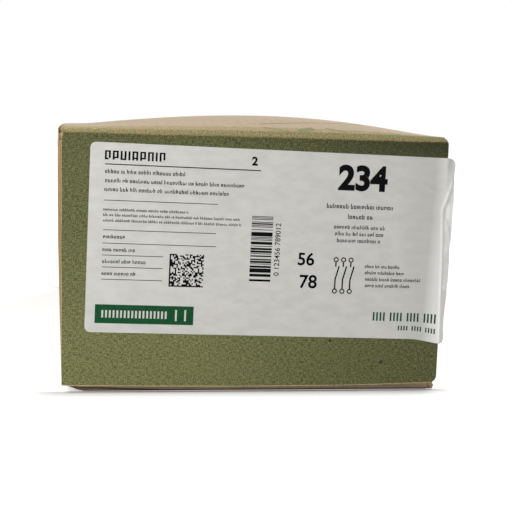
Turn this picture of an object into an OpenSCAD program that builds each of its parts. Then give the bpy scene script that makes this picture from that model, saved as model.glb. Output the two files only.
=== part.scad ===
// A heavy-duty safety switch (a 30 A, three-pole, rainproof disconnect) in its shipping carton.
// The carton is an end-loading tube of corrugated board. Each end closes with four flaps: two short
// dust flaps on the side panels, an inner flap on the bottom panel and an outer flap on the top
// panel, folded in that order. The switch lies on its back inside, cover up, with its handle in a
// bay along the right side.
// Millimetres, +Z up. The origin is the middle of the carton's underside, the labelled end is at -Y.

/* [Board] */
// Thickness of the corrugated board
board_t = 3; // [2.4:0.1:3.6]
// Thickness of each outer paper of the board
liner_t = 0.4; // [0.3:0.05:0.6]
// Thickness of the wavy paper between the two outer ones
medium_t = 0.35; // [0.25:0.05:0.5]
// Distance from one flute crest to the next
flute_pitch = 6.4; // [5:0.2:9]
// Outside radius of a creased corner
crease_r = 2.4; // [1:0.2:2.4]
// Gap between flap layers, and where a flap turns in its crease
fold_gap = 0.3; // [0.2:0.05:0.6]
// Height by which the top panel bulges in the middle
crown_h = 10; // [0:0.5:12]

/* [Packing room] */
// Room beside the switch, left and right
side_room = 1.7; // [1:0.1:6]
// Room at each end of the switch
end_room = 4.4; // [4:0.2:12]
// Room between the switch's cover and the top panel's side creases
head_room = 17.6; // [12:0.2:25]

/* [Flaps] */
// How far the outer flap's cut edge stays above the ground
outer_flap_lift = 3.8; // [3.2:0.1:8]
// Radius to which the front outer flap's lower right corner is worn
flap_corner_r = 4; // [1:0.5:8]
// How far the outer flap is narrower than the carton on the left
outer_flap_inset_l = 1.9; // [0.5:0.1:6]
// How far the outer flap is narrower than the carton on the right
outer_flap_inset_r = 1; // [0.5:0.1:6]
// Height of the inner flap
inner_flap_h = 84; // [40:1:88]
// How far the inner flap is narrower than the carton on the left
inner_flap_inset_l = 9; // [4:0.5:20]
// How far the inner flap is narrower than the carton on the right
inner_flap_inset_r = 5.5; // [4:0.5:20]
// Length of a dust flap from its crease
dust_flap_l = 50; // [30:1:56]
// Gap that a dust flap leaves to the top and bottom panels at its crease
dust_flap_margin = 4; // [3:0.5:10]
// Width of the glued tab that joins the tube along the left panel
glue_tab_w = 38; // [25:1:45]

/* [Label] */
// Height of the label
label_h = 101.6; // [60:0.2:120]
// Thickness of the label stock with its wrinkles
label_t = 0.4; // [0.15:0.05:0.5]
// Distance from the carton's left side to the label
label_inset_l = 16.6; // [6:0.2:60]
// Height of the label's upper left corner above the ground
label_top = 135.1; // [110:0.1:136]
// Angle by which the label was put on askew, its right end low
label_tilt = 1.2; // [-1:0.1:2]
// Corner radius of the label
label_r = 3; // [1:0.5:6]
// How far the label stands out past the outer flap's right edge
label_lip = 5.6; // [2:0.2:9]
// Angle by which the loose lip of the label bends back
label_lip_angle = 24; // [5:1:40]

/* [Enclosure] */
// Width of the steel enclosure
enclosure_w = 160; // [150:1:180]
// Length of the steel enclosure
enclosure_l = 372; // [340:1:390]
// Depth of the enclosure without its cover
enclosure_d = 114; // [104:1:124]
// Thickness of the sheet steel
sheet_t = 1.5; // [1:0.1:2]
// Outside corner radius of the enclosure
enclosure_r = 4; // [3:0.5:8]
// Width of the lip that is folded in round the enclosure's mouth
mouth_lip_w = 8; // [4:1:12]
// How far the cover reaches down over the enclosure's sides
cover_skirt = 14; // [8:1:18]
// Height of the raised field on the cover
cover_emboss = 2; // [1:0.5:3]
// Diameter of the knockouts in the lower end
knockout_d = 28.6; // [20:0.2:34]
// Width of the opening for a conduit hub in the upper end
hub_w = 58; // [40:1:70]
// Diameter of the cover's hinge pins
hinge_pin_d = 4; // [3:0.5:6]
// Width of the padlock hasp on the right side
hasp_w = 26; // [20:1:32]
// How far the hasp stands out
hasp_reach = 28; // [26:1:32]
// Hole for the padlock's shackle
shackle_d = 9.5; // [7:0.5:12]
// Diameter of the small machine screws
screw_d = 4; // [3:0.5:5]

/* [Switch mechanism] */
// Distance between two poles
pole_pitch = 38; // [34:1:40]
// Length of the moulded base along the enclosure
base_l = 170; // [160:1:190]
// Thickness of the moulded base
base_t = 14; // [10:1:18]
// Length of a blade from its pivot to its tip
blade_l = 66; // [60:1:72]
// Height of a blade's flat side
blade_h = 12; // [10:1:14]
// Thickness of a blade
blade_t = 3; // [2:0.2:4]
// Diameter of the pin that a blade turns on
blade_pin_d = 5; // [4:0.5:6]
// Angle by which the blades stand open when the switch is off
blade_angle = 60; // [40:1:65]
// Width of a terminal lug
lug_w = 18; // [14:1:20]
// Diameter of the wire hole in a lug
wire_d = 9; // [6:0.5:11]

/* [Handle] */
// How far the handle stands out from the enclosure's side
handle_out = 36; // [32:1:44]
// Distance from the handle's axis to the tip of its grip
handle_l = 74; // [60:1:78]
// Height of the handle's axis above the back of the enclosure
handle_axis_h = 50; // [46:1:54]
// Diameter of the operating shaft
shaft_d = 12; // [10:0.5:14]
// Angle of the handle above the enclosure's length in its OFF and ON places
handle_rest_angle = 35; // [25:1:45]
// Running clearance round the shaft and the pins
running_gap = 0.3; // [0.2:0.05:0.4]

/* [Hidden] */

$fn = 48;
eps = 0.01;
// Room that the cover's skirt takes on each side of the enclosure
cover_gap = 0.3;
cover_lap = sheet_t + cover_gap;
// Carton, from what it holds
carton_w = 3 * board_t + 2 * side_room + 2 * cover_lap + enclosure_w + handle_out;
fold_layer = board_t + fold_gap;
carton_l = enclosure_l + 2 * end_room + 2 * (3 * board_t + 2 * fold_gap);
carton_h = 2 * board_t + enclosure_d + cover_lap + cover_emboss + head_room + 1;
half_w = carton_w / 2;
half_l = carton_l / 2;
// Gap in the creases that never move
crease_gap = 0.1;
// Where the bottom panel and the side panels end, counted back from the carton's end
inner_crease = fold_layer;
dust_crease = 2 * fold_layer;
// Slopes of a dust flap's cut edges, as rise per length
dust_slope_low = 1;
dust_slope_high = 0.52;
// Points of a quarter of a rounded crease
crease_steps = 4;
// Grid of the crowned top panel
crown_steps_x = 14;
crown_steps_y = 18;
// Shape of the crown: higher numbers make a flatter middle with steeper edges
crown_power_x = 2;
crown_power_y = 8;
// Straight steps of the wave between two crests
flute_steps = 8;
// Enclosure places
tub_left = -half_w + 2 * board_t + side_room + cover_lap;
tub_right = tub_left + enclosure_w;
tub_x = (tub_left + tub_right) / 2;
tub_z = board_t;
tub_top = tub_z + enclosure_d;
tub_floor = tub_z + sheet_t;
// Height of the middle of what is in the end walls
end_wall_z = tub_z + 46;
knockout_pitch = knockout_d + 14;
hub_h = hub_w * 0.75;
hub_plate_margin = 9;
emboss_w = enclosure_w - 44;
emboss_l = enclosure_l - 110;
emboss_y = -22;
emboss_r = 10;
hinge_pin_x = tub_left + 9;
hinge_pin_z = tub_top - cover_skirt / 2;
hinge_pin_l = 9;
screw_head_d = screw_d * 2;
screw_head_h = 1.8;
hub_screw_l = 6;
hasp_t = 2;
hasp_h = 30;
hasp_y = 70;
hasp_drop = 3;
keyhole_d = 11;
keyhole_inset = 30;
keyhole_x = enclosure_w * 0.3;
keyhole_slot = 6;
// Switch places
base_w = 3 * pole_pitch + 6;
base_x = tub_x - 10;
base_top = tub_floor + base_t;
base_screw_x = base_w / 2 - screw_d * 1.5;
base_screw_y = base_l / 4;
base_wall = 4;
base_pocket_w = pole_pitch - 4 * base_wall;
base_pocket_l = base_l / 3 - 2 * base_wall;
strap_t = 3;
ear_t = 1.6;
ear_h = 20;
ear_l = 12;
blade_gap = running_gap;
blade_pivot_y = -30;
blade_pivot_z = base_top + strap_t + 12;
jaw_y = blade_pivot_y + blade_l - ear_l;
lug_l = 22;
lug_h = 18;
lug_y = base_l / 2 - lug_l - 4;
lug_screw_d = 8;
lug_screw_l = 6;
// How deep a lug screw stands in its thread, and its hexagon socket
lug_screw_grip = 4;
hex_socket_d = 4.6;
hex_socket_h = 3;
lug_edge = 2;
crossbar_l = 14;
crossbar_h = 12;
crossbar_reach = 30;
barrier_t = 3;
barrier_h = 12;
shield_t = 2;
probe_slot = 5;
shield_z = base_top + strap_t + lug_h + 14;
// Handle places
axis_y = 0;
axis_z = tub_z + handle_axis_h;
handle_base_t = 4;
handle_base_d = 48;
hub_d = 34;
hub_t = 10;
hub_x = tub_right + handle_base_t + 0.4;
arm_t = 6;
grip_w = 22;
grip_edge = 4;
grip_grooves = 4;
// Depth and place of the points of one groove round the grip
groove_shape = [[0, 0], [0.8, 0.6], [0.8, 1.4], [0, 2]];
// The two stops stand just outside the hub, where the arm's edge meets them
stop_d = 4;
stop_r = hub_d / 2 + stop_d / 2 + 1;
stop_angle = asin((grip_w / 2 + stop_d / 2 + running_gap) / stop_r);
plate_x = tub_right - 22;
plate_t = 3;
plate_w = 50;
plate_foot = 16;
collar_t = 5;
collar_d = shaft_d + 6;
// Room between the collar or the spring and what it turns against
shaft_play = 1;
spring_wire = 1.6;
spring_r = shaft_d / 2 + spring_wire / 2 + 0.4;
spring_turns = 4;
spring_leg = 13;
spring_ring = 8;
spring_steps = 16;
ground_x = tub_x - 30;
ground_y = -enclosure_l / 2 + 46;
ground_l = 64;
ground_w = 14;
ground_h = 10;
ground_wire_d = 5;
ground_screw_l = 5;

kraft = "#c2ae94";
olive_ink = "#68703f";
label_paper = "#cfceca";
enamel = "#8d9396";
zinc = "#b9bcc0";
copper = "#b4714a";
moulding = "#3a332e";
clear_sheet = "#cfd8dc";
handle_red = "#a5261f";

// ---- shapes used more than once ----

function arc(cx, cy, r, from, to, steps) =
    [for (k = [0 : steps]) let (a = from + (to - from) * k / steps) [cx + r * cos(a), cy + r * sin(a)]];

// A rectangle with round corners, in the middle of its place
module round_rect(w, l, r) {
    square([w - 2 * r, l], center = true);
    square([w, l - 2 * r], center = true);
    for (sx = [-1, 1], sy = [-1, 1])
        translate([sx * (w / 2 - r), sy * (l / 2 - r)]) circle(r);
}

// A slot with round ends along Y
module slot_shape(w, l) {
    square([w, l - w], center = true);
    for (s = [-1, 1]) translate([0, s * (l - w) / 2]) circle(d = w);
}

// Height of the wave's middle line, in flute pitches from a crest
wave_rise = board_t / 2 - liner_t;
function wave(u) = board_t / 2 + wave_rise * cos(360 * u);

// Edge of a hollow cell, where the wave leaves the outer paper
cell_edge = acos(1 - medium_t / 2 / wave_rise) / 360;
cell_points = concat(
    [for (k = [0 : flute_steps]) let (u = cell_edge + (1 - 2 * cell_edge) * k / flute_steps)
        [u * flute_pitch, min(wave(u) + medium_t / 2, board_t - liner_t - eps)]],
    [[(1 - cell_edge) * flute_pitch, board_t - liner_t], [cell_edge * flute_pitch, board_t - liner_t]]);

// Cross-section of corrugated board: two papers and the wavy one between them
module board_section(w) {
    cells = floor((w - 2 * liner_t) / flute_pitch - 0.5);
    start = (w - (cells + 0.5) * flute_pitch) / 2;
    difference() {
        square([w, board_t]);
        for (i = [0 : cells - 1]) {
            translate([start + i * flute_pitch, 0]) polygon(cell_points);
            translate([start + (i + 0.5) * flute_pitch, board_t]) mirror([0, 1]) polygon(cell_points);
        }
    }
}

// Board that is w wide and h high, upright, its outer paper at y = 0, with its flutes upright
module fluted_board(w, h) {
    linear_extrude(height = h) board_section(w);
}

// What the crease takes off a board that starts at it: the mitre and the outer rounding.
// The crease runs along X at the origin, and the board hangs below it with its outer paper at y = 0.
module crease_cut(w) {
    reach = board_t + 1;
    translate([-1, 0, 0]) rotate([90, 0, 90]) linear_extrude(height = w + 2)
        polygon(concat(
            [[-1, 1], [-1, -crease_r]],
            arc(crease_r, -crease_r, crease_r, 180, 135, crease_steps),
            [[board_t, -board_t - fold_gap / 2], [reach, -board_t - fold_gap / 2], [reach, 1]]));
}

// Profile of a flat panel between two creases: mitred ends, outer corners rounded, outside down
function panel_profile(half, gap) = concat(
    arc(half - gap - crease_r, crease_r, crease_r, -45, -90, crease_steps),
    arc(-half + gap + crease_r, crease_r, crease_r, -90, -135, crease_steps),
    [[-half + gap + board_t, board_t], [half - gap - board_t, board_t]]);

// ---- carton ----

module bottom_panel() {
    color(kraft) intersection() {
        translate([0, half_l, 0]) rotate([90, 0, 0]) linear_extrude(height = carton_l)
            polygon(panel_profile(half_w, crease_gap));
        translate([-half_w, 0, 0]) rotate([90, 0, 90]) linear_extrude(height = carton_w)
            polygon(panel_profile(half_l - inner_crease, fold_gap / 2));
    }
}

module right_panel() {
    side_half = half_l - dust_crease;
    color(kraft) intersection() {
        translate([half_w, half_l, carton_h / 2]) rotate([90, 0, 0]) rotate([0, 0, 90])
            linear_extrude(height = carton_l) polygon(panel_profile(carton_h / 2, 0));
        translate([half_w, 0, 0]) rotate([0, 0, 90])
            linear_extrude(height = carton_h) polygon(panel_profile(side_half, fold_gap / 2));
    }
}

module left_panel() {
    mirror([1, 0, 0]) right_panel();
}

// Height of the bulge over a place of the top panel, as shares of its half width and half length
function bulge(sx, sy) = crown_h * (1 - pow(abs(sx), crown_power_x)) * (1 - pow(abs(sy), crown_power_y));

// The top panel: rows of points across the carton, rounded down at the four creases
module top_panel() {
    edge = [for (k = [0 : crease_steps]) let (a = 135 - 45 * k / crease_steps)
        [crease_r * (1 + cos(a)), crease_r * (1 - sin(a))]];
    // Offsets from a crease and drops below the panel, for both ends of a row
    function stations(half, gap, steps) = concat(
        [for (e = edge) [-half + gap + e[0], e[1], e[0] - crease_r]],
        [for (k = [1 : steps - 1]) [(-half + gap + crease_r) * cos(180 * k / steps), 0, 0]],
        [for (k = [crease_steps : -1 : 0]) [half - gap - edge[k][0], edge[k][1], crease_r - edge[k][0]]]);
    xs = stations(half_w, crease_gap, crown_steps_x);
    ys = stations(half_l, fold_gap / 2, crown_steps_y);
    nx = len(xs);
    ny = len(ys);
    inner_x = half_w - crease_gap - board_t;
    inner_y = half_l - fold_gap / 2 - board_t;
    outer_x = half_w - crease_gap - edge[0][0];
    outer_y = half_l - fold_gap / 2 - edge[0][0];
    top_points = [for (y = ys, x = xs)
        [x[0], y[0], carton_h - max(x[1], y[1]) + bulge(x[0] / half_w, y[0] / half_l)]];
    low_points = [for (y = ys, x = xs)
        [x[0] * inner_x / outer_x, y[0] * inner_y / outer_y,
         carton_h - board_t + bulge(x[0] / half_w, y[0] / half_l) - bulge(1, 1)]];
    n = nx * ny;
    top_faces = [for (j = [0 : ny - 2], i = [0 : nx - 2]) let (a = j * nx + i)
        each [[a, a + nx, a + nx + 1], [a, a + nx + 1, a + 1]]];
    low_faces = [for (j = [0 : ny - 2], i = [0 : nx - 2]) let (a = n + j * nx + i)
        each [[a, a + nx + 1, a + nx], [a, a + 1, a + nx + 1]]];
    rim = concat([for (i = [0 : nx - 1]) i], [for (j = [1 : ny - 1]) j * nx + nx - 1],
                 [for (i = [nx - 2 : -1 : 0]) (ny - 1) * nx + i], [for (j = [ny - 2 : -1 : 1]) j * nx]);
    rim_n = len(rim);
    rim_faces = [for (k = [0 : rim_n - 1]) let (a = rim[k], b = rim[(k + 1) % rim_n])
        each [[a, b, b + n], [a, b + n, a + n]]];
    color(kraft) polyhedron(concat(top_points, low_points), concat(top_faces, low_faces, rim_faces));
}

// The manufacturer's joint: a tab of the bottom panel, glued inside the left panel
module glue_tab() {
    long = carton_l / 2 - dust_crease - 2 * board_t;
    color(kraft) translate([-half_w + board_t, 0, board_t]) rotate([90, 0, 90])
        linear_extrude(height = board_t) polygon([[-long, 0], [long, 0],
            [long - glue_tab_w / 3, glue_tab_w], [-long + glue_tab_w / 3, glue_tab_w]]);
}

module outer_flap() {
    w = carton_w - outer_flap_inset_l - outer_flap_inset_r;
    h = carton_h - outer_flap_lift;
    difference() {
        translate([-half_w + outer_flap_inset_l, -half_l, outer_flap_lift]) fluted_board(w, h);
        translate([-half_w, -half_l, carton_h]) crease_cut(carton_w);
    }
}

module inner_flap() {
    w = carton_w - inner_flap_inset_l - inner_flap_inset_r;
    difference() {
        translate([-half_w + inner_flap_inset_l, -half_l + inner_crease, 0])
            fluted_board(w, inner_flap_h);
        translate([-half_w, -half_l + inner_crease, 0]) mirror([0, 0, 1]) crease_cut(carton_w);
    }
}

// The right dust flap: its flutes run away from the crease, and its long edges are cut back so
// that it swings clear of the inner and outer flaps
module dust_flap() {
    low = board_t + dust_flap_margin;
    high = carton_h - board_t - dust_flap_margin;
    y = -half_l + dust_crease;
    difference() {
        translate([half_w, y, low]) rotate([0, -90, 0]) fluted_board(high - low, dust_flap_l);
        translate([half_w, y, carton_h + 1]) rotate([0, 90, 0]) crease_cut(carton_h);
        translate([half_w, y - 1, low]) rotate([-90, 0, 0]) linear_extrude(height = board_t + 2)
            polygon([[1, 1], [1, -eps], [-board_t, -eps],
                [-dust_flap_l - 1, -(dust_flap_l + 1 - board_t) * dust_slope_low], [-dust_flap_l - 1, 1]]);
        translate([half_w, y - 1, high]) rotate([-90, 0, 0]) linear_extrude(height = board_t + 2)
            polygon([[1, -1], [1, eps], [-board_t, eps],
                [-dust_flap_l - 1, (dust_flap_l + 1 - board_t) * dust_slope_high], [-dust_flap_l - 1, -1]]);
    }
}

module front_outer_flap() {
    r = flap_corner_r;
    color(olive_ink) difference() {
        outer_flap();
        // The worn corner
        translate([half_w - outer_flap_inset_r - r, -half_l - 1, outer_flap_lift + r]) rotate([-90, 0, 0])
            linear_extrude(height = board_t + 2)
                polygon(concat(arc(0, 0, r, 0, 90, crease_steps), [[r + 1, r + 1]]));
    }
}

module front_inner_flap() { color(kraft) inner_flap(); }
module front_right_dust_flap() { color(kraft) dust_flap(); }
module front_left_dust_flap() { color(kraft) mirror([1, 0, 0]) dust_flap(); }
module rear_outer_flap() { color(kraft) rotate([0, 0, 180]) outer_flap(); }
module rear_inner_flap() { color(kraft) rotate([0, 0, 180]) inner_flap(); }
module rear_left_dust_flap() { color(kraft) rotate([0, 0, 180]) dust_flap(); }
module rear_right_dust_flap() { color(kraft) mirror([0, 1, 0]) dust_flap(); }

// The label lies on the outer flap, stuck on a little askew. Its right end runs past the flap's edge and
// bends back there, so the bend is drawn upright and the outline is turned.
module shipping_label() {
    flat_w = carton_w - label_inset_l - outer_flap_inset_r;
    bend_r = label_lip / 2;
    lip_a = 90 - label_lip_angle;
    outside = arc(flat_w, bend_r, bend_r + label_t, -90, -lip_a, crease_steps);
    inside = arc(flat_w, bend_r, bend_r, -lip_a, -90, crease_steps);
    run = [cos(label_lip_angle), sin(label_lip_angle)] * label_lip;
    whole_w = flat_w + label_lip * 1.5;
    drop = (whole_w + label_h) * abs(sin(label_tilt));
    color(label_paper) translate([-half_w + label_inset_l, -half_l, label_top]) intersection() {
        translate([0, 0, -label_h - drop]) linear_extrude(height = label_h + 2 * drop)
            polygon(concat([[-drop, 0], [-drop, -label_t]], outside,
                [outside[crease_steps] + run, inside[0] + run], inside));
        rotate([0, label_tilt, 0]) translate([whole_w / 2, whole_w / 2, -label_h / 2]) rotate([90, 0, 0])
            linear_extrude(height = whole_w) round_rect(whole_w, label_h, label_r);
    }
}

// ---- enclosure ----

// Keyholes in the back: two below and one above, for wall screws
module keyhole() {
    translate([0, 0, -1]) cylinder(h = sheet_t + 2, d = keyhole_d);
    translate([0, keyhole_d / 2, -1]) linear_extrude(height = sheet_t + 2)
        slot_shape(keyhole_slot, keyhole_d * 1.4);
}

module enclosure_tub() {
    color(enamel) difference() {
        translate([tub_x, 0, tub_z]) linear_extrude(height = enclosure_d)
            round_rect(enclosure_w, enclosure_l, enclosure_r);
        translate([tub_x, 0, tub_floor]) linear_extrude(height = enclosure_d - 2 * sheet_t)
            round_rect(enclosure_w - 2 * sheet_t, enclosure_l - 2 * sheet_t, enclosure_r - sheet_t);
        translate([tub_x, 0, tub_top - 2 * sheet_t]) linear_extrude(height = 3 * sheet_t)
            round_rect(enclosure_w - 2 * mouth_lip_w, enclosure_l - 2 * mouth_lip_w, enclosure_r - sheet_t);
        // Knockouts below, and the hub's opening above
        for (i = [-1 : 1]) translate([tub_x + i * knockout_pitch, -enclosure_l / 2 - 1, end_wall_z])
            rotate([-90, 0, 0]) cylinder(h = sheet_t + 2, d = knockout_d);
        translate([tub_x, enclosure_l / 2 + 1, end_wall_z]) rotate([90, 0, 0])
            linear_extrude(height = sheet_t + 2) round_rect(hub_w, hub_h, enclosure_r);
        for (sx = [-1, 1], sz = [-1, 1])
            translate([tub_x + sx * (hub_w + hub_plate_margin) / 2, enclosure_l / 2 - sheet_t - 1,
                       end_wall_z + sz * (hub_h + hub_plate_margin) / 2])
                rotate([-90, 0, 0]) cylinder(h = sheet_t + 2, d = screw_d);
        // Shaft, hinge pins and keyholes
        translate([tub_right - sheet_t - 1, axis_y, axis_z]) rotate([0, 90, 0])
            cylinder(h = sheet_t + 2, d = shaft_d + 2 * running_gap);
        for (s = [-1, 1]) translate([hinge_pin_x, s * (enclosure_l / 2 - sheet_t / 2), hinge_pin_z])
            rotate([90, 0, 0]) cylinder(h = sheet_t + 2, d = hinge_pin_d + 2 * running_gap, center = true);
        for (s = [-1, 1])
            translate([tub_x + s * keyhole_x, -enclosure_l / 2 + keyhole_inset, tub_z]) keyhole();
        translate([tub_x, enclosure_l / 2 - keyhole_inset, tub_z]) keyhole();
    }
}

module enclosure_cover() {
    w = enclosure_w + 2 * cover_lap;
    l = enclosure_l + 2 * cover_lap;
    skirt_z = tub_top - cover_skirt;
    color(enamel) difference() {
        union() {
            translate([tub_x, 0, skirt_z]) linear_extrude(height = cover_skirt + cover_lap)
                round_rect(w, l, enclosure_r + cover_lap);
            translate([tub_x, emboss_y, tub_top + cover_lap - eps])
                linear_extrude(height = cover_emboss) round_rect(emboss_w, emboss_l, emboss_r);
        }
        translate([tub_x, 0, skirt_z - 1]) linear_extrude(height = cover_skirt + cover_gap + 1)
            round_rect(w - 2 * sheet_t, l - 2 * sheet_t, enclosure_r + cover_gap);
        translate([tub_x, emboss_y, tub_top]) linear_extrude(height = cover_emboss + cover_gap)
            round_rect(emboss_w - 2 * sheet_t, emboss_l - 2 * sheet_t, emboss_r - sheet_t);
        for (s = [-1, 1]) translate([hinge_pin_x, s * (enclosure_l / 2 + cover_lap), hinge_pin_z])
            rotate([90, 0, 0]) cylinder(h = 4 * sheet_t, d = hinge_pin_d, center = true);
    }
}

// One pin at each end of the cover's left side, held in the cover, turning in the enclosure
module cover_hinge_pins() {
    color(zinc) for (s = [-1, 1]) flip_y(s) {
        translate([hinge_pin_x, enclosure_l / 2 + cover_lap - hinge_pin_l, hinge_pin_z])
            rotate([-90, 0, 0]) cylinder(h = hinge_pin_l, d = hinge_pin_d);
        translate([hinge_pin_x, enclosure_l / 2 + cover_lap, hinge_pin_z])
            rotate([-90, 0, 0]) cylinder(h = 1, d = hinge_pin_d * 1.8);
    }
}

module flip_y(s) {
    if (s < 0) mirror([0, 1, 0]) children();
    else children();
}

// Padlock hasp: a bent tab on the enclosure's right side, with a hole for a shackle
module cover_hasp() {
    y = -enclosure_l / 2 + hasp_y;
    z = tub_top - cover_skirt - hasp_drop;
    eye_x = tub_right + hasp_reach - hasp_w / 2;
    color(zinc) difference() {
        union() {
            translate([tub_right, y - hasp_w / 2, z - hasp_h]) cube([hasp_t, hasp_w, hasp_h]);
            translate([tub_right, y - hasp_w / 2, z - hasp_t])
                cube([hasp_reach - hasp_w / 2, hasp_w, hasp_t]);
            translate([eye_x, y, z - hasp_t]) cylinder(h = hasp_t, d = hasp_w);
        }
        translate([eye_x, y, z - hasp_t - 1]) cylinder(h = hasp_t + 2, d = shackle_d);
        translate([tub_right - 1, y, z - hasp_h * 0.6]) rotate([0, 90, 0])
            cylinder(h = hasp_t + 2, d = screw_d);
    }
}

module knockout_discs() {
    color(enamel) for (i = [-1 : 1]) translate([tub_x + i * knockout_pitch, -enclosure_l / 2, end_wall_z])
        rotate([-90, 0, 0]) difference() {
            cylinder(h = sheet_t, d = knockout_d - 0.3);
            // The smaller ring that is pressed into the disc
            translate([0, 0, -1]) difference() {
                cylinder(h = 1.4, d = knockout_d * 0.78);
                translate([0, 0, -1]) cylinder(h = 4, d = knockout_d * 0.78 - 1.2);
            }
        }
}

module hub_closing_plate() {
    m = 2 * hub_plate_margin;
    color(enamel) translate([tub_x, enclosure_l / 2 + sheet_t, end_wall_z]) rotate([90, 0, 0]) difference() {
        linear_extrude(height = sheet_t) round_rect(hub_w + m, hub_h + m, enclosure_r);
        for (sx = [-1, 1], sy = [-1, 1])
            translate([sx * (hub_w + hub_plate_margin) / 2, sy * (hub_h + hub_plate_margin) / 2, -1])
                cylinder(h = sheet_t + 2, d = screw_d);
    }
}

// A pan-head screw along Z: head above z = 0, shank below
module screw(shank) {
    cylinder(h = screw_head_h, d1 = screw_head_d, d2 = screw_head_d * 0.72, $fn = 24);
    translate([0, 0, -shank]) cylinder(h = shank + eps, d = screw_d - 0.2);
}

module hub_plate_screws() {
    color(zinc) for (sx = [-1, 1], sz = [-1, 1])
        translate([tub_x + sx * (hub_w + hub_plate_margin) / 2, enclosure_l / 2 + sheet_t,
                   end_wall_z + sz * (hub_h + hub_plate_margin) / 2]) rotate([-90, 0, 0]) screw(hub_screw_l);
}

// ---- switch ----

function pole_x(i) = base_x + (i - 1) * pole_pitch;

module moulded_base() {
    color(moulding) difference() {
        union() {
            translate([base_x, 0, tub_floor]) linear_extrude(height = base_t) round_rect(base_w, base_l, 4);
            for (i = [0 : 1]) {
                translate([pole_x(i) + (pole_pitch - barrier_t) / 2, -base_l / 2, base_top - eps])
                    cube([barrier_t, base_l, barrier_h]);
                translate([pole_x(i) + (pole_pitch - barrier_t) / 2, jaw_y + ear_l + 4, base_top - eps])
                    cube([barrier_t, base_l / 2 - jaw_y - ear_l - 4, lug_h + strap_t + 8]);
            }
        }
        for (sx = [-1, 1], sy = [-1, 1])
            translate([base_x + sx * base_screw_x, sy * base_screw_y, tub_floor - 1])
                cylinder(h = base_t + 2, d = screw_d);
        // Pockets in the underside, which keep the moulding's walls even
        for (i = [0 : 2], k = [-1 : 1]) translate([pole_x(i), k * base_pocket_l * 1.15, tub_floor - 1])
            linear_extrude(height = base_t - base_wall + 1)
                round_rect(base_pocket_w, base_pocket_l, base_wall / 2);
    }
}

module base_screws() {
    color(zinc) for (sx = [-1, 1], sy = [-1, 1])
        translate([base_x + sx * base_screw_x, sy * base_screw_y, base_top]) screw(base_t);
}

// Strap, lug and two upright ears, for the pole in the middle, towards +Y
module terminal(ear_y, ears_bored) {
    gap = blade_t + 2 * blade_gap;
    difference() {
        union() {
            translate([-lug_w / 2, ear_y, base_top]) cube([lug_w, lug_y + lug_l - ear_y, strap_t]);
            for (s = [0, 1]) mirror([s, 0, 0])
                translate([gap / 2, ear_y, base_top]) cube([ear_t, ear_l, ear_h]);
            translate([0, lug_y + lug_l, base_top + (lug_h + strap_t) / 2]) rotate([90, 0, 0])
                linear_extrude(height = lug_l) round_rect(lug_w, lug_h + strap_t, lug_edge);
        }
        translate([0, lug_y - 1, base_top + strap_t + lug_h / 2]) rotate([-90, 0, 0])
            cylinder(h = lug_l + 2, d = wire_d);
        translate([0, lug_y + lug_l / 2, base_top + strap_t + lug_h / 2])
            cylinder(h = lug_h, d = lug_screw_d);
        if (ears_bored) translate([-lug_w, -blade_pivot_y, blade_pivot_z]) rotate([0, 90, 0])
            cylinder(h = 2 * lug_w, d = blade_pin_d);
    }
}

module line_terminals() {
    color(copper) for (i = [0 : 2]) translate([pole_x(i), 0, 0]) terminal(jaw_y, false);
}

module load_terminals() {
    color(copper) for (i = [0 : 2]) translate([pole_x(i), 0, 0]) mirror([0, 1, 0])
        terminal(-blade_pivot_y - ear_l / 2, true);
}

module lug_screws() {
    color(zinc) for (i = [0 : 2], s = [-1, 1])
        translate([pole_x(i), s * (lug_y + lug_l / 2), base_top + strap_t + lug_h - lug_screw_grip])
            difference() {
                cylinder(h = lug_screw_l, d = lug_screw_d - 0.2);
                translate([0, 0, lug_screw_l - hex_socket_h])
                    cylinder(h = hex_socket_h + 1, d = hex_socket_d, $fn = 6);
            }
}

module blade_pins() {
    l = blade_t + 2 * blade_gap + 2 * ear_t;
    color(zinc) for (i = [0 : 2]) translate([pole_x(i) - l / 2, blade_pivot_y, blade_pivot_z])
        rotate([0, 90, 0]) cylinder(h = l, d = blade_pin_d);
}

// Everything that turns on the blade pins is drawn shut, and then swung open
module swung_open() {
    translate([0, blade_pivot_y, blade_pivot_z]) rotate([blade_angle, 0, 0]) children();
}

module switch_blades() {
    color(copper) swung_open() for (i = [0 : 2]) translate([pole_x(i) - blade_t / 2, 0, 0])
        rotate([90, 0, 90]) linear_extrude(height = blade_t) difference() {
            union() {
                circle(d = blade_h);
                translate([0, -blade_h / 2]) square([blade_l - blade_h / 2, blade_h]);
                translate([blade_l - blade_h / 2, 0]) circle(d = blade_h);
            }
            circle(d = blade_pin_d + 2 * running_gap);
        }
}

module crossbar() {
    l = 2 * pole_pitch + 26;
    r = 3;
    color(moulding) swung_open() translate([base_x - l / 2, crossbar_reach, blade_h / 2 + crossbar_h / 2])
        rotate([90, 0, 90]) linear_extrude(height = l) difference() {
            round_rect(crossbar_l, crossbar_h, r);
            // The round edge towards the blades stays flat, so that the bar seats on them
            translate([0, crossbar_h / 2 + 1]) square([crossbar_l / 3, 4], center = true);
        }
}

// A clear shield over the line terminals, on two legs
module line_shield() {
    y = jaw_y + ear_l + 10;
    l = base_l / 2 - y;
    w = base_w - 2;
    color(clear_sheet, 0.5) translate([base_x - w / 2, y, base_top]) difference() {
        cube([w, l, shield_z - base_top + shield_t]);
        translate([shield_t, -1, -1]) cube([w - 2 * shield_t, l + 2, shield_z - base_top + 1]);
        // Slots for the tips of a tester
        for (i = [-1 : 1]) translate([w / 2 + i * pole_pitch, l / 2, shield_z - base_top - 1])
            linear_extrude(height = shield_t + 2) slot_shape(probe_slot, l * 0.6);
    }
}

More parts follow.
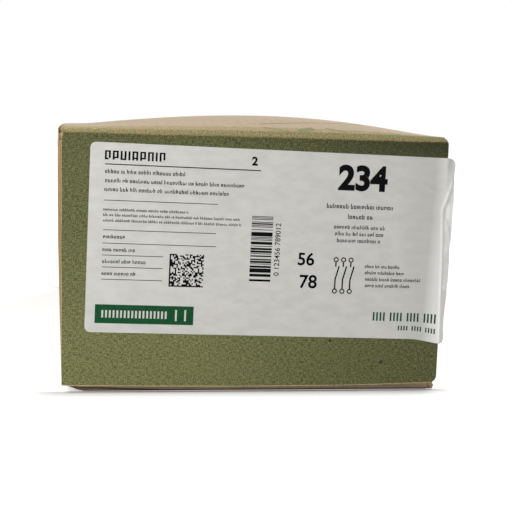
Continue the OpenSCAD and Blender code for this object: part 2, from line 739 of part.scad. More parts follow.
// Upright bracket that carries the inner end of the shaft
module mechanism_plate() {
    h = axis_z + plate_w / 2 - tub_floor;
    color(zinc) difference() {
        union() {
            translate([plate_x, axis_y - plate_w / 2, tub_floor]) cube([plate_t, plate_w, h - plate_w / 2]);
            translate([plate_x, axis_y, axis_z]) rotate([0, 90, 0]) cylinder(h = plate_t, d = plate_w);
            translate([plate_x, axis_y - plate_w / 2, tub_floor]) cube([plate_foot, plate_w, plate_t]);
        }
        translate([plate_x - 1, axis_y, axis_z]) rotate([0, 90, 0])
            cylinder(h = plate_t + 2, d = shaft_d + 2 * running_gap);
        for (s = [-1, 1]) translate([plate_x + plate_foot * 0.6, axis_y + s * plate_w * 0.32, tub_floor - 1])
            cylinder(h = plate_t + 2, d = screw_d);
    }
}

module operating_shaft() {
    inner_x = plate_x - collar_t - shaft_play;
    color(zinc) {
        translate([inner_x, axis_y, axis_z]) rotate([0, 90, 0])
            cylinder(h = hub_x + hub_t / 2 - inner_x, d = shaft_d);
        // Collar that keeps the shaft in the bracket
        translate([inner_x, axis_y, axis_z]) rotate([0, 90, 0]) cylinder(h = collar_t, d = collar_d);
    }
}

// Torsion spring round the shaft, between the bracket and the enclosure's wall
module drive_spring() {
    from = plate_x + plate_t + shaft_play + spring_wire;
    to = tub_right - sheet_t - shaft_play - spring_wire;
    rings = spring_turns * spring_steps;
    points = [for (k = [0 : rings], b = [0 : spring_ring - 1])
        let (a = 360 * k / spring_steps, c = 360 * b / spring_ring,
             x = from + (to - from) * k / rings, r = spring_r + spring_wire / 2 * cos(c))
        [x + spring_wire / 2 * sin(c), axis_y + r * cos(a), axis_z + r * sin(a)]];
    sides = [for (k = [0 : rings - 1], b = [0 : spring_ring - 1])
        let (p = k * spring_ring + b, q = k * spring_ring + (b + 1) % spring_ring)
        each [[p, q, q + spring_ring], [p, q + spring_ring, p + spring_ring]]];
    ends = [[for (b = [spring_ring - 1 : -1 : 0]) b],
            [for (b = [0 : spring_ring - 1]) rings * spring_ring + b]];
    color(zinc) {
        polyhedron(points, concat(sides, ends));
        // Straight legs at both ends, one down and one up
        for (leg = [[from, 180], [to, 0]])
            translate([leg[0], axis_y + spring_r, axis_z]) rotate([leg[1], 0, 0])
                cylinder(h = spring_leg, d = spring_wire, $fn = spring_ring);
    }
}

// Fixed plate under the handle, with the two stops that end its travel
module handle_base() {
    color(moulding) translate([tub_right, axis_y, axis_z]) difference() {
        union() {
            rotate([0, 90, 0]) cylinder(h = handle_base_t, d = handle_base_d);
            for (a = [handle_rest_angle - stop_angle, 180 - handle_rest_angle + stop_angle])
                rotate([a, 0, 0]) translate([handle_base_t - eps, stop_r, 0]) rotate([0, 90, 0])
                    cylinder(h = arm_t, d = stop_d);
        }
        translate([-1, 0, 0]) rotate([0, 90, 0])
            cylinder(h = handle_base_t + 2, d = shaft_d + 2 * running_gap);
    }
}

// The handle is drawn pointing along +Y, and then turned to OFF
module switch_handle() {
    reach = handle_l - grip_w / 2;
    grip_l = tub_right + handle_out - hub_x;
    grip_half = concat([[0, 0], [grip_w / 2, 0]],
        [for (g = [0 : grip_grooves - 1], c = groove_shape)
            [grip_w / 2 - c[0], arm_t + grip_edge * (g + 0.5) + c[1]]],
        arc(grip_w / 2 - grip_edge, grip_l - grip_edge, grip_edge, 0, 90, crease_steps), [[0, grip_l]]);
    turn = 180 - handle_rest_angle;
    color(handle_red) translate([hub_x, axis_y, axis_z]) rotate([turn, 0, 0]) difference() {
        union() {
            rotate([0, 90, 0]) cylinder(h = hub_t, d = hub_d);
            translate([0, 0, -grip_w / 2]) cube([arm_t, reach, grip_w]);
            translate([0, reach, 0]) rotate([0, 90, 0]) rotate_extrude() polygon(grip_half);
            // Web between the grip and the arm
            translate([arm_t - eps, reach - grip_w / 2 - 4, -arm_t / 2])
                cube([grip_l / 2, grip_w / 2, arm_t]);
        }
        rotate([0, 90, 0]) translate([0, 0, -1]) cylinder(h = hub_t / 2 + 1, d = shaft_d + 0.1);
        // Padlock hole through the arm
        translate([-1, reach * 0.5, 0]) rotate([0, 90, 0]) cylinder(h = arm_t + 2, d = shackle_d);
    }
}

module ground_bar() {
    color(zinc) difference() {
        translate([ground_x - ground_l / 2, ground_y - ground_w / 2, tub_floor])
            cube([ground_l, ground_w, ground_h]);
        for (k = [0 : 3]) translate([ground_x + (k - 1.5) * ground_l / 4, ground_y, tub_floor]) {
            translate([0, 0, 3]) cylinder(h = ground_h, d = screw_d);
            translate([0, 0, ground_h / 2]) rotate([90, 0, 0])
                cylinder(h = ground_w + 2, d = ground_wire_d, center = true);
        }
    }
}

module ground_screws() {
    color(zinc) for (k = [0 : 3])
        translate([ground_x + (k - 1.5) * ground_l / 4, ground_y, tub_floor + ground_h]) screw(ground_screw_l);
}

bottom_panel();
left_panel();
right_panel();
top_panel();
glue_tab();
front_outer_flap();
front_inner_flap();
front_left_dust_flap();
front_right_dust_flap();
rear_outer_flap();
rear_inner_flap();
rear_left_dust_flap();
rear_right_dust_flap();
shipping_label();
enclosure_tub();
enclosure_cover();
cover_hinge_pins();
cover_hasp();
knockout_discs();
hub_closing_plate();
hub_plate_screws();
moulded_base();
base_screws();
line_terminals();
load_terminals();
lug_screws();
blade_pins();
switch_blades();
crossbar();
line_shield();
mechanism_plate();
operating_shaft();
drive_spring();
handle_base();
switch_handle();
ground_bar();
ground_screws();
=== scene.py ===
# %% [markdown]
# # A safety switch in its shipping carton
# The object is a 30 A disconnect switch, packed in an end-loading carton of corrugated board. The near
# end is closed by an outer flap that is flooded with olive ink and carries a big paper label.
# The switch comes ready shaped from the CAD model and gets only its finishes here. The carton, the label
# and the print are modelled, because CAD solids lack the soft bulges, creases and wrinkles of paper.

# %% Load the CAD model as the fixed frame
import bpy, bmesh, math, random
import numpy as np
from functools import partial, reduce
from mathutils import Matrix, Vector


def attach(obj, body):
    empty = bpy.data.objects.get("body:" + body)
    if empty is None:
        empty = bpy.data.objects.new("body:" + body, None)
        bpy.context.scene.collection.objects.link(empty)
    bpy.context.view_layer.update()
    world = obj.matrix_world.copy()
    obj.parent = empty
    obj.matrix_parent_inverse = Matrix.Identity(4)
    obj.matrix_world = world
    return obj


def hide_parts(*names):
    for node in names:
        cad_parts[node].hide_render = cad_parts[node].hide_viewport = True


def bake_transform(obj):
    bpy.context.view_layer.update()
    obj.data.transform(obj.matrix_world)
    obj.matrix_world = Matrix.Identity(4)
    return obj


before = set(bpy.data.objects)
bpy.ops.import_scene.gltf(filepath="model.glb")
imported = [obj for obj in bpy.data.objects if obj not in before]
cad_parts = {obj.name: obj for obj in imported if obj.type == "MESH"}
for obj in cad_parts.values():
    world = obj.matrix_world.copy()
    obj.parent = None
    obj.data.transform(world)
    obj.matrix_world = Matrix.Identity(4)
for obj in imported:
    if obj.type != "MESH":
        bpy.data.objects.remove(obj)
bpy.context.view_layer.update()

# %% [markdown]
# ## The camera
# The camera comes first, so that each piece can be judged in the picture. It stands left of the carton's
# middle, level with its top edge and 0.6 m away, and looks slightly down. Its axes are put straight into
# the matrix, because three angles given one after the other are easy to mix up.

# %% Camera
MM = 0.001
FOCAL_PX, FRAME_PX, SENSOR = 1132, 512, 36
YAW, PITCH, ROLL = math.radians(8.74), math.radians(6.47), math.radians(1.65)
STAND = Vector((-92.6, -804.1, 144.8)) * MM

gaze = Vector((math.sin(YAW) * math.cos(PITCH), math.cos(YAW) * math.cos(PITCH), -math.sin(PITCH)))
level = gaze.cross(Vector((0, 0, 1))).normalized()
upright = level.cross(gaze)
across = math.cos(ROLL) * level + math.sin(ROLL) * upright
above = math.cos(ROLL) * upright - math.sin(ROLL) * level
camera = bpy.data.objects.new("camera", bpy.data.cameras.new("camera"))
bpy.context.scene.collection.objects.link(camera)
camera.data.lens = FOCAL_PX / FRAME_PX * SENSOR
camera.data.sensor_width = SENSOR
camera.matrix_world = Matrix.Translation(STAND) @ Matrix((across, above, -gaze)).transposed().to_4x4()
bpy.context.scene.camera = camera
print("lens", round(camera.data.lens, 1), "mm")

# %% [markdown]
# ## The sizes that all pieces share
# They repeat the CAD model's, in millimetres, so that each piece lies where its solid is.

# %% Sizes of the carton
HALF_W, HALF_L, HEIGHT = 106.0, 200.0, 142.4
# Thickness of the board, radius of its creases and spacing of its flutes
BOARD, CREASE_R, FLUTE = 3.0, 2.4, 6.4
# How far the creases of the inner and the dust flaps lie behind that of the outer flap
INNER_CREASE, DUST_CREASE = 3.3, 6.6
# The top's bulge: its height, how squarely it ends, and how far it leans to the right
CROWN, CROWN_POWER, CROWN_SKEW = 9.6, 8, 0.28
# How high the left crease stands, and how far in it does
EDGE_LIFT, EDGE_REACH = 1.4, 10.0


def bulge(x, y):
    """Height of the top panel's bulge over a place. It leans to the right, and its left crease is up."""
    sx, sy = np.clip(x / HALF_W, -1, 1), np.clip(np.abs(y) / HALF_L, 0, 1)
    middle = CROWN * (1 - sx ** 2) * (1 + CROWN_SKEW * sx)
    left_crease = EDGE_LIFT * np.exp(-((x + HALF_W) / EDGE_REACH) ** 2)
    return (middle + left_crease) * (1 - sy ** CROWN_POWER)


for y in (0, -190):
    print("bulge at y =", y, "mm:", round(float(bulge(0, y)), 2), "mm")

# %% [markdown]
# ## Helpers for shaping
# Operators act on what is selected, so one helper makes a piece the only one selected, and one picks
# faces or edges by a rule about their place. Another moves each vertex by a rule, which makes the soft
# bulges and wrinkles: an operator can't follow a formula. One writes the UV map in metres of flat board,
# so that flutes and fibres run round a crease and stay on the paper when a flap turns.

# %% Shaping helpers
# A face or an edge runs along an axis where that axis has more than this share of its direction
AXIS = 0.9


def deselect_all():
    if bpy.context.mode != "OBJECT":
        bpy.ops.object.mode_set(mode="OBJECT")
    bpy.ops.object.select_all(action="DESELECT")


def take(piece):
    """Makes a piece the only one selected."""
    deselect_all()
    piece.select_set(True)
    bpy.context.view_layer.objects.active = piece


def edit(piece):
    """Opens a piece in edit mode, with all of it selected."""
    take(piece)
    bpy.ops.object.mode_set(mode="EDIT")
    bpy.ops.mesh.select_all(action="SELECT")


def mm(*sizes):
    return tuple(size * MM for size in sizes)


def start(name, size):
    """Names the 1 m primitive that was just added, gives it its size in mm and settles its place."""
    piece = bpy.context.object
    piece.name = piece.data.name = name
    take(piece)
    piece.scale = mm(*size)
    bpy.ops.object.transform_apply(location=True, rotation=True, scale=True)
    return piece


def pick(kind, rule):
    """In edit mode, selects only the faces or edges whose middle and direction pass a rule, in mm."""
    bpy.ops.mesh.select_mode(type="FACE" if kind == "faces" else "EDGE")
    bpy.ops.mesh.select_all(action="DESELECT")
    data = bpy.context.object.data
    mesh = bmesh.from_edit_mesh(data)
    for part in getattr(mesh, kind):
        middle = sum((v.co for v in part.verts), Vector()) / len(part.verts) / MM
        way = part.normal if kind == "faces" else (part.verts[1].co - part.verts[0].co).normalized()
        part.select_set(bool(rule(middle, way)))
    mesh.select_flush_mode()
    bmesh.update_edit_mesh(data)


def cut(axis, cuts, where=lambda middle: True):
    """In edit mode, cuts the edges that run along an axis into equal parts."""
    pick("edges", lambda middle, way: abs(way["xyz".index(axis)]) > AXIS and where(middle))
    bpy.ops.mesh.subdivide(number_cuts=cuts)


def points_of(mesh):
    """A mesh's vertices as arrays of x, y and z, in mm."""
    points = np.empty(len(mesh.vertices) * 3, np.float32)
    mesh.vertices.foreach_get("co", points)
    return points.reshape(-1, 3).T.astype(float) / MM


def reshape(piece, rule):
    """Moves every vertex: rule(x, y, z) gives the new x, y, z, as arrays in mm."""
    take(piece)
    moved = np.stack(rule(*points_of(piece.data)), axis=1) * MM
    piece.data.vertices.foreach_set("co", moved.astype(np.float32).ravel())
    piece.data.update()


def apply_modifier(piece, kind, **settings):
    take(piece)
    modifier = piece.modifiers.new(kind.title(), kind)
    for name, value in settings.items():
        setattr(modifier, name, value)
    bpy.ops.object.modifier_apply(modifier=modifier.name)


def lay_out(piece, rule):
    """Writes the UV map "board": metres across the flutes and metres along them, by a rule in mm."""
    mesh = piece.data
    flat = np.stack(rule(*points_of(mesh)), axis=1) * MM
    corners = np.empty(len(mesh.loops), np.int32)
    mesh.loops.foreach_get("vertex_index", corners)
    layer = mesh.uv_layers.new(name="board")
    layer.data.foreach_set("uv", flat[corners].astype(np.float32).ravel())


def smooth(piece, degrees):
    take(piece)
    bpy.ops.object.shade_smooth_by_angle(angle=math.radians(degrees))


def count(piece):
    return f"{piece.name}: {sum(len(p.vertices) - 2 for p in piece.data.polygons)} triangles"


def step(x, low, high):
    """0 below low, 1 above high, and a smooth rise between them."""
    t = np.clip((x - low) / (high - low), 0, 1)
    return t * t * (3 - 2 * t)


print("helpers ready")

# %% [markdown]
# ## Helpers for finishes
# A finish starts from a real material. Its colour is the sRGB hex that a paint chart would give, and one
# function turns that to the linear numbers that Blender works in. One function adds a node with its
# settings and links, whatever its kind: values fill its inputs in the order in which the node shows them,
# and the socket that comes out is given back. The four kinds used most have short names in a table.

# %% Material helpers
KINDS = {"mix": ("Mix", {"data_type": "RGBA"}), "range": ("MapRange", {}),
         "plus": ("Math", {"operation": "ADD"}), "times": ("Math", {"operation": "MULTIPLY"})}


def colour(code):
    parts = [int(code[i:i + 2], 16) / 255 for i in (1, 3, 5)]
    return tuple(p / 12.92 if p <= 0.04045 else ((p + 0.055) / 1.055) ** 2.4 for p in parts) + (1,)


def fill(node, *values, **named):
    """Fills a node's open inputs, in order or by name, from sockets, hex codes or numbers."""
    pairs = list(zip([socket for socket in node.inputs if socket.enabled], values))
    pairs += [(node.inputs[name.replace("_", " ")], value) for name, value in named.items()]
    for socket, value in pairs:
        if isinstance(value, bpy.types.NodeSocket):
            node.id_data.links.new(value, socket)
        else:
            socket.default_value = colour(value) if isinstance(value, str) else value


def add_node(tree, kind, *values, out=None, **named):
    """Adds a node and gives back its first output, or out. Names in small letters are its settings."""
    kind, settings = KINDS.get(kind, (kind, {}))
    node = tree.nodes.new("ShaderNode" + kind)
    for name, value in {**settings, **named}.items():
        if name.islower():
            setattr(node, name, value)
    fill(node, *values, **{name: value for name, value in named.items() if not name.islower()})
    return node.outputs[out] if out else [socket for socket in node.outputs if socket.enabled][0]


def finish(name, code, **sockets):
    """A new material, the function that adds nodes to it, and its shader with colour and constants."""
    material = bpy.data.materials.new(name)
    material.use_nodes = True
    shader = material.node_tree.nodes["Principled BSDF"]
    fill(shader, Base_Color=code, **sockets)
    return material, partial(add_node, material.node_tree), shader


def along(add, place, low, high, *shares):
    """How far a place is on the way from low to high, in mm: 0 to 1, or between two other shares."""
    return add("range", place, low * MM, high * MM, *shares)


def chain(add, kind, *values):
    """The sum or the product of several sockets or numbers."""
    return reduce(partial(add, kind), values)


print("kraft brown in linear numbers", [round(c, 3) for c in colour("#c4ae92")[:3]])

# %% [markdown]
# ## Kraft board
# The carton is B-flute board: two kraft papers with a wavy one glued between them. Unbleached kraft is
# brown and dull, with darker and paler fibres across the flutes, whose glue lines read through as faint
# bands 6.4 mm apart. A brown colour alone would look like plastic, so noise is mixed over it, from clouds
# where the pulp is thin down to rare dark specks. It is laid out on the flat board's own UV map.

# %% Kraft board, unbleached paper glued over flutes
def board_patterns(add):
    """The patterns that any face of the board has: fibres, clouds, specks and flutes, each 0 to 1."""
    flat = add("UVMap", uv_map="board")

    def noise(across_mm, along_mm, detail, seed):
        scale = (1 / (across_mm * MM), 1 / (along_mm * MM), 1)
        place = add("Mapping", flat, Location=(seed, seed, 0), Scale=scale)
        return add("TexNoise", place, Scale=1, Detail=detail, noise_dimensions="2D")

    # A wave of scale 1 repeats every tau / 20 m
    waves = add("TexWave", flat, out="Fac", Scale=math.tau / (20 * FLUTE * MM), wave_type="BANDS",
                bands_direction="X")
    return {"flat": flat, "fibres": noise(3.5, 0.8, 3, 1), "clouds": noise(38, 24, 2, 5),
            "grain": noise(1.0, 0.8, 2, 9), "dots": noise(0.55, 0.5, 1, 21), "specks": noise(1.6, 0.9, 1, 14),
            "flutes": waves, "more": noise}


def board_relief(add, shader, p, flute_mm):
    """Bump of a board face: the washboard of the flutes, and the fibres' roughness."""
    washboard = add("Bump", Height=p["flutes"], Distance=flute_mm * MM, Strength=0.5)
    fill(shader, Normal=add("Bump", Height=p["grain"], Distance=0.04 * MM, Strength=0.4, Normal=washboard))


def layered(add, base, *layers):
    """Mixes colours over a base: each layer is a pattern, its range, the shares at both ends, a colour."""
    for pattern, low, high, first, last, code in layers:
        base = add("mix", add("range", pattern, low, high, first, last), base, code)
    return base


def kraft_colour(add, p, pale="#dac8ae", brown="#c2ab8d"):
    return layered(add, pale, (p["fibres"], 0.36, 0.66, 0, 1, brown),
                   (p["clouds"], 0.25, 0.75, 0, 0.3, brown), (p["flutes"], 0, 1, 0, 0.12, brown),
                   (p["grain"], 0.35, 0.65, 0.3, 0, pale), (p["specks"], 0.72, 0.80, 0, 0.7, "#85705a"))


KRAFT_GLOSS = {"IOR": 1.47, "Specular_IOR_Level": 0.3}
kraft, add, shader = finish("kraft_board_unbleached_paper", "#c4ae92", Roughness=0.86, **KRAFT_GLOSS)
patterns = board_patterns(add)
place = add("SeparateXYZ", add("TexCoord", out="Object")).node.outputs
end_on = add("Math", place["Y"], operation="ABSOLUTE")
# The left crease is darker and browner, as painted shade, most of all near its ends
left_crease_shade = add("times", along(add, place["X"], -103.2, -104.4, 0, 0.9), along(add, end_on, 150, 190, 0.3, 1))
brown = add("mix", left_crease_shade, kraft_colour(add, patterns), kraft_colour(add, patterns, "#9c815a", "#897049"))
# The foot is darker brown: painted shade near the floor, and scuffs from floors
low_shade_and_scuffs = add("times", along(add, place["Z"], 1.2, 5.5, 0.8, 0),
             add("range", patterns["clouds"], 0.3, 0.7, 0.6, 1))
brown = add("mix", low_shade_and_scuffs, brown, "#75593a")
# A dark line of painted shade runs along the foot of each end. It lies higher at the far left
shade_line_height = add("plus", place["Z"], along(add, place["X"], -85, -50, -1.5 * MM, 0))
shade_line_at_foot = chain(add, "times", along(add, shade_line_height, 1.5, 0.9), along(add, shade_line_height, 0.1, 0.5, 0.45, 1),
              along(add, end_on, 188, 192), along(add, place["X"], -60, -30, 0.85, 0.6))
fill(shader, Base_Color=add("mix", shade_line_at_foot, brown, "#231c15"))
board_relief(add, shader, patterns, 0.05)
print(kraft.name, len(kraft.node_tree.nodes), "nodes")

# %% [markdown]
# ## The board's cut edge
# Where the die cut the board, its three papers show on end. Torn fibres make this edge paler and rougher
# than the face, so it gets a finish of its own.

# %% Cut edge of the board, die-cut paper on end
cut_edge, add, shader = finish("kraft_board_die_cut_edge", "#cbb696", Roughness=0.92, IOR=1.47,
                               Specular_IOR_Level=0.2)
place = add("TexCoord", out="Object")
fuzz = add("TexNoise", place, Scale=1 / (1.5 * MM), Detail=3)
spot = add("SeparateXYZ", place).node.outputs
# The lower part of the left edge is darker, as painted shade
low_left_edge_shade = add("times", along(add, spot["X"], -102.6, -103.6, 0, 0.85), along(add, spot["Z"], 60, 30))
pulp = add("mix", add("range", fuzz, 0.35, 0.7), "#d6c5a6", "#ab9170")
fill(shader, Base_Color=add("mix", low_left_edge_shade, pulp, "#43392a"),
     Normal=add("Bump", Height=fuzz, Distance=0.15 * MM, Strength=0.6))
print(cut_edge.name, len(cut_edge.node_tree.nodes), "nodes")

# %% [markdown]
# ## Olive ink on the outer flap
# The front flap is flooded with one flat ink in flexo print. Such an ink doesn't sink in evenly: fibres
# and pinholes show through, and it dries matt. It stops raggedly just over the crease, where the printing
# plate ended. It is a mask over the kraft colour that reads the distance along the board. Its grain is
# a weave of two noises, one drawn out along the flutes and one across, since one alone looks like worms.

# %% Olive flexo ink on kraft paper
# Specks of dirt that dried into the ink, and two spots of painted shade at the torn nib of the left
# corner: right of the middle, down from the crease, and size, in mm
DIRT_AND_SHADE_SPOTS = [(72.6, -125.8, 1.3), (43.0, -113.3, 0.9), (-106, -2.4, 1.9), (-105.6, 0.4, 1.2)]
# The heaviest tone is both heavy dots of ink and the colour of the painted shade on the flap
LIGHT_INK, DARK_INK, HEAVY_INK_AND_SHADE = "#8f925b", "#45482f", "#3a3d24"


def inked(add, p):
    """Colour of kraft under the olive ink. The UV map's V is 0 on the crease and falls on the flap."""
    flat = add("SeparateXYZ", p["flat"]).node.outputs
    right, down = flat["X"], flat["Y"]

    weave = add("plus", add("times", p["more"](1.9, 0.5, 2, 31), 0.5),
                add("times", p["more"](0.5, 1.7, 2, 37), 0.5))
    ink = layered(add, LIGHT_INK, (weave, 0.38, 0.60, 0.02, 0.98, DARK_INK),
                  (p["dots"], 0.52, 0.72, 0, 0.5, "#a39c69"), (p["dots"], 0.30, 0.45, 0.4, 0, HEAVY_INK_AND_SHADE),
                  (p["fibres"], 0.38, 0.66, 0, 0.25, LIGHT_INK), (p["clouds"], 0.3, 0.7, 0, 0.06, DARK_INK))
    # Painted shade: the ink is darker to the right, towards the top, under the crease and in the upper left
    shade_by_crease = add("times", along(add, down, -19, -4, 0, 0.44), along(add, right, -100, 90, 0.25, 0.85))
    shade_upper_left = add("times", along(add, down, -110, -50, 0, 0.21), along(add, right, 20, -70))
    flap_shade = chain(add, "plus", along(add, right, -30, 106, 0, 0.46), along(add, down, -130, -20, 0, 0.16),
                 shade_by_crease, shade_upper_left)
    ink = add("mix", flap_shade, ink, HEAVY_INK_AND_SHADE)
    # Where the painted shade is deepest, the weave's dark threads are painted darker still
    ink = add("mix", add("times", flap_shade, add("range", weave, 0.42, 0.60, 0, 0.9)), ink, "#2a2c1a")
    # The share of bare paper: worn along the crease's outer line, torn at the left and the lower cut
    ragged = add("plus", down, add("range", p["grain"], 0.3, 0.7, -0.5 * MM, 0.5 * MM))
    worn = along(add, ragged, -3.1, -2.7)
    bare = chain(add, "plus", 0.16, add("times", worn, 0.42), along(add, down, -138.0, -138.3, 0, 0.5),
                 along(add, right, -103.6, -104.0, 0, 0.36), add("range", p["clouds"], 0.3, 0.7, -0.1, 0.1))
    speckle = add("plus", add("times", p["grain"], 0.5), add("times", p["dots"], 0.5))
    over = add("Math", bare, speckle, operation="SUBTRACT")
    kraft_paper = kraft_colour(add, p, "#d0bd97", "#b8a077")
    # Along the crease the bare paper is browner than elsewhere
    bared = add("mix", worn, kraft_paper, "#a08056")
    solid = add("mix", add("range", over, -0.09, 0.11), ink, bared)
    # Over the crease the ink is a thin film that fades out on the panel
    reach = add("plus", down, along(add, right, -100, 60, 0, -2.6 * MM))
    film = add("plus", along(add, reach, -1, 1.4, 0.72, 0), add("range", speckle, 0.42, 0.58, -0.45, 0.45))
    thin = add("mix", film, kraft_paper, "#75774a")
    ink = add("mix", along(add, ragged, -2.5, -1.9), solid, thin)
    # Dark spots: specks of dirt, and painted shade in the gap at the torn nib
    for u, v, size in DIRT_AND_SHADE_SPOTS:
        spot = add("VectorMath", p["flat"], mm(u, v, 0), operation="DISTANCE")
        ink = add("mix", along(add, spot, size, size / 2, 0, 0.85), ink, "#141610")
    return ink


olive, add, shader = finish("kraft_board_olive_flexo_ink", "#70734c", Roughness=0.78, **KRAFT_GLOSS)
patterns = board_patterns(add)
fill(shader, Base_Color=inked(add, patterns))
board_relief(add, shader, patterns, 0.07)
print(olive.name, len(olive.node_tree.nodes), "nodes")

# %% [markdown]
# ## The carton's tube
# The tube is one sheet that is creased four times and glued into a ring. Its long corners are rounded
# by the thickness of the board, and its top bulges over the load. It could be four panels, but then each
# corner would show a joint. So it starts as a cube that loses its end faces, has its long edges bevelled,
# gets rows of cuts, is bulged by the rule above, and is at last given the board's thickness.

# %% Carton tube
# How much of the end creases' arc the tube leaves to the strips, and how far under them it lies
ARC, UNDER = 0.7, 0.14
# How far the left side leans in at the ground and swells above, and how far its foot is crushed
LEAN, SWELL, CRUSH = 2.6, 0.6, 3.0
# The power by which the rows of the grid crowd towards the ends, where the bulge falls off
CROWDING = 1.35


def tube_end(x, z):
    """How far the tube reaches along Y at a place of its section: less far on the sides and bottom."""
    side = step(np.abs(x), HALF_W - CREASE_R, HALF_W - 0.3)
    top_end, bottom_end, side_end = (HALF_L - c - ARC for c in (0, INNER_CREASE, DUST_CREASE))
    flat_end = np.where(z > HEIGHT / 2, top_end, bottom_end)
    return flat_end + (side_end - flat_end) * side


def pressed(x, y, z):
    """The carton's left side leans in towards the ground and swells above, and its foot is crushed."""
    lean = LEAN * np.clip(1 - z / 80, 0, 1) - SWELL * step(z, 70, 135)
    low = CRUSH * step(-x, 92, 105) * np.clip(1 - z / 14, 0, 1)
    return x + lean * step(-x, 88, HALF_W), y, z + low


def crease_drop(distance):
    """How far a face curls in near its end crease. distance is measured from the crease's corner."""
    d = np.clip(CREASE_R - distance, 0, CREASE_R)
    return CREASE_R - np.sqrt(CREASE_R ** 2 - d ** 2)


def form_tube(x, y, z):
    end = tube_end(x, z)
    crowded = 1 - np.clip(1 - np.abs(y) / HALF_L, 0, 1) ** CROWDING
    new_y = np.sign(y) * end * crowded
    to_corner = end + ARC - np.abs(new_y)
    sunk = crease_drop(to_corner) + UNDER * step(-to_corner, -9, -6.5)
    on_top, on_bottom = z > HEIGHT - 0.01, z < 0.01
    on_side = np.abs(x) > HALF_W - 0.01
    new_z = np.where(on_top, z - sunk, np.where(on_bottom, z + sunk, z))
    new_x = np.where(on_side, x - np.sign(x) * sunk, x)
    lift = step(z, HEIGHT - 8, HEIGHT - CREASE_R) * bulge(x, new_y)
    return new_x, new_y, new_z + lift


bpy.ops.mesh.primitive_cube_add(size=1, location=mm(0, 0, HEIGHT / 2))
tube = start("carton_tube", (2 * HALF_W, 2 * HALF_L, HEIGHT))
bpy.ops.object.mode_set(mode="EDIT")
pick("faces", lambda middle, way: abs(way.y) > AXIS)
bpy.ops.mesh.delete(type="ONLY_FACE")
pick("edges", lambda middle, way: abs(way.y) > AXIS)
bpy.ops.mesh.bevel(offset=CREASE_R * MM, offset_type="OFFSET", segments=5, affect="EDGES")
cut("y", 59)
cut("x", 35, lambda middle: abs(middle.x) < 20)
cut("z", 17, lambda middle: 20 < middle.z < HEIGHT - 20)
reshape(tube, form_tube)


def unroll_tube(x, y, z):
    """Flat board of the tube: X on the top and bottom, and Z carried on past the corners on the sides."""
    on_side = np.abs(x) >= HALF_W - 0.9
    return np.where(on_side, np.sign(x) * HALF_W + np.sign(x) * (HEIGHT - z), x), y


lay_out(tube, unroll_tube)
reshape(tube, pressed)
apply_modifier(tube, "SOLIDIFY", thickness=BOARD * MM, offset=-1)
tube.data.materials.append(kraft)
smooth(tube, 35)
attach(tube, "carton")
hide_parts("top_panel", "bottom_panel", "left_panel", "right_panel")
print(count(tube))

# %% [markdown]
# ## The flaps
# A flap is the same board, but it shows its cut edges, with the wave between the papers. The CAD model
# has this section drawn through each flap, so each starts as a copy of its solid. The copy's loose
# triangles are merged, and a bisect takes off the part by the crease, which a bending strip replaces
# further down. Faces that look outwards, inwards and sideways get their finishes by their normals.

# %% Flap boards
# How far each crease strip reaches from the corner, down the flap and back on the panel
STRIP_ON_FLAP, STRIP_ON_PANEL = 5.4, 8.0
FOOT_SAG, FOOT_LOWEST_AT = 0.6, 10


def edge_bulge(z):
    """How far the front flap's right edge stands out over its foot: up to 1 mm."""
    return step(z, 60, 130)


def uneven_cut(x, y, z):
    """The front flap's foot sags in the middle, and its upright edges aren't quite plumb."""
    off = (x - FOOT_LOWEST_AT) / np.where(x < FOOT_LOWEST_AT, 87, 56)
    foot = np.clip(1 - (z - 3.8) / 20, 0, 1)
    left = (0.75 - 1.25 * step(z, 60, 140)) * step(-x, 60, 104)
    right = edge_bulge(z) * step(x, 60, 104)
    return x + (left + right), y, z + FOOT_SAG * foot * (off ** 2 - 1)


def board_flap(node, keep_point, keep_way, flat_rule):
    """Copies a flap's solid, cuts it short of its crease and gives its faces their finishes."""
    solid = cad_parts[node]
    piece = solid.copy()
    piece.data = solid.data.copy()
    bpy.context.scene.collection.objects.link(piece)
    piece.parent = None
    piece.matrix_world = Matrix.Identity(4)
    piece.name = piece.data.name = node.replace("flap", "board")
    edit(piece)
    bpy.ops.mesh.remove_doubles(threshold=1e-6)
    bpy.ops.mesh.bisect(plane_co=mm(*keep_point), plane_no=keep_way, clear_inner=True, use_fill=False)
    bpy.ops.mesh.select_all(action="SELECT")
    bpy.ops.mesh.dissolve_limited(angle_limit=math.radians(0.5))
    # Cuts across the width let the flap follow the rules for its shape
    for x in range(-90, 91, 15):
        bpy.ops.mesh.select_all(action="SELECT")
        bpy.ops.mesh.bisect(plane_co=mm(x, 0, 0), plane_no=(1, 0, 0))
    bpy.ops.mesh.select_all(action="SELECT")
    bpy.ops.mesh.quads_convert_to_tris()
    bpy.ops.object.mode_set(mode="OBJECT")
    inked_face = node == "front_outer_flap"
    piece.data.materials.clear()
    for surface in (olive if inked_face else kraft, kraft, cut_edge):
        piece.data.materials.append(surface)
    for face in piece.data.polygons:
        facing = -face.normal.y if "front" in node else face.normal.y
        face.material_index = 0 if facing > AXIS else 1 if facing < -AXIS else 2
    lay_out(piece, flat_rule)
    if inked_face:
        reshape(piece, uneven_cut)
    if "outer" not in node:
        reshape(piece, pressed)
    take(piece)
    bpy.ops.object.shade_flat()
    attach(piece, node.replace("_flap", ""))
    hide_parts(node)
    print(count(piece))


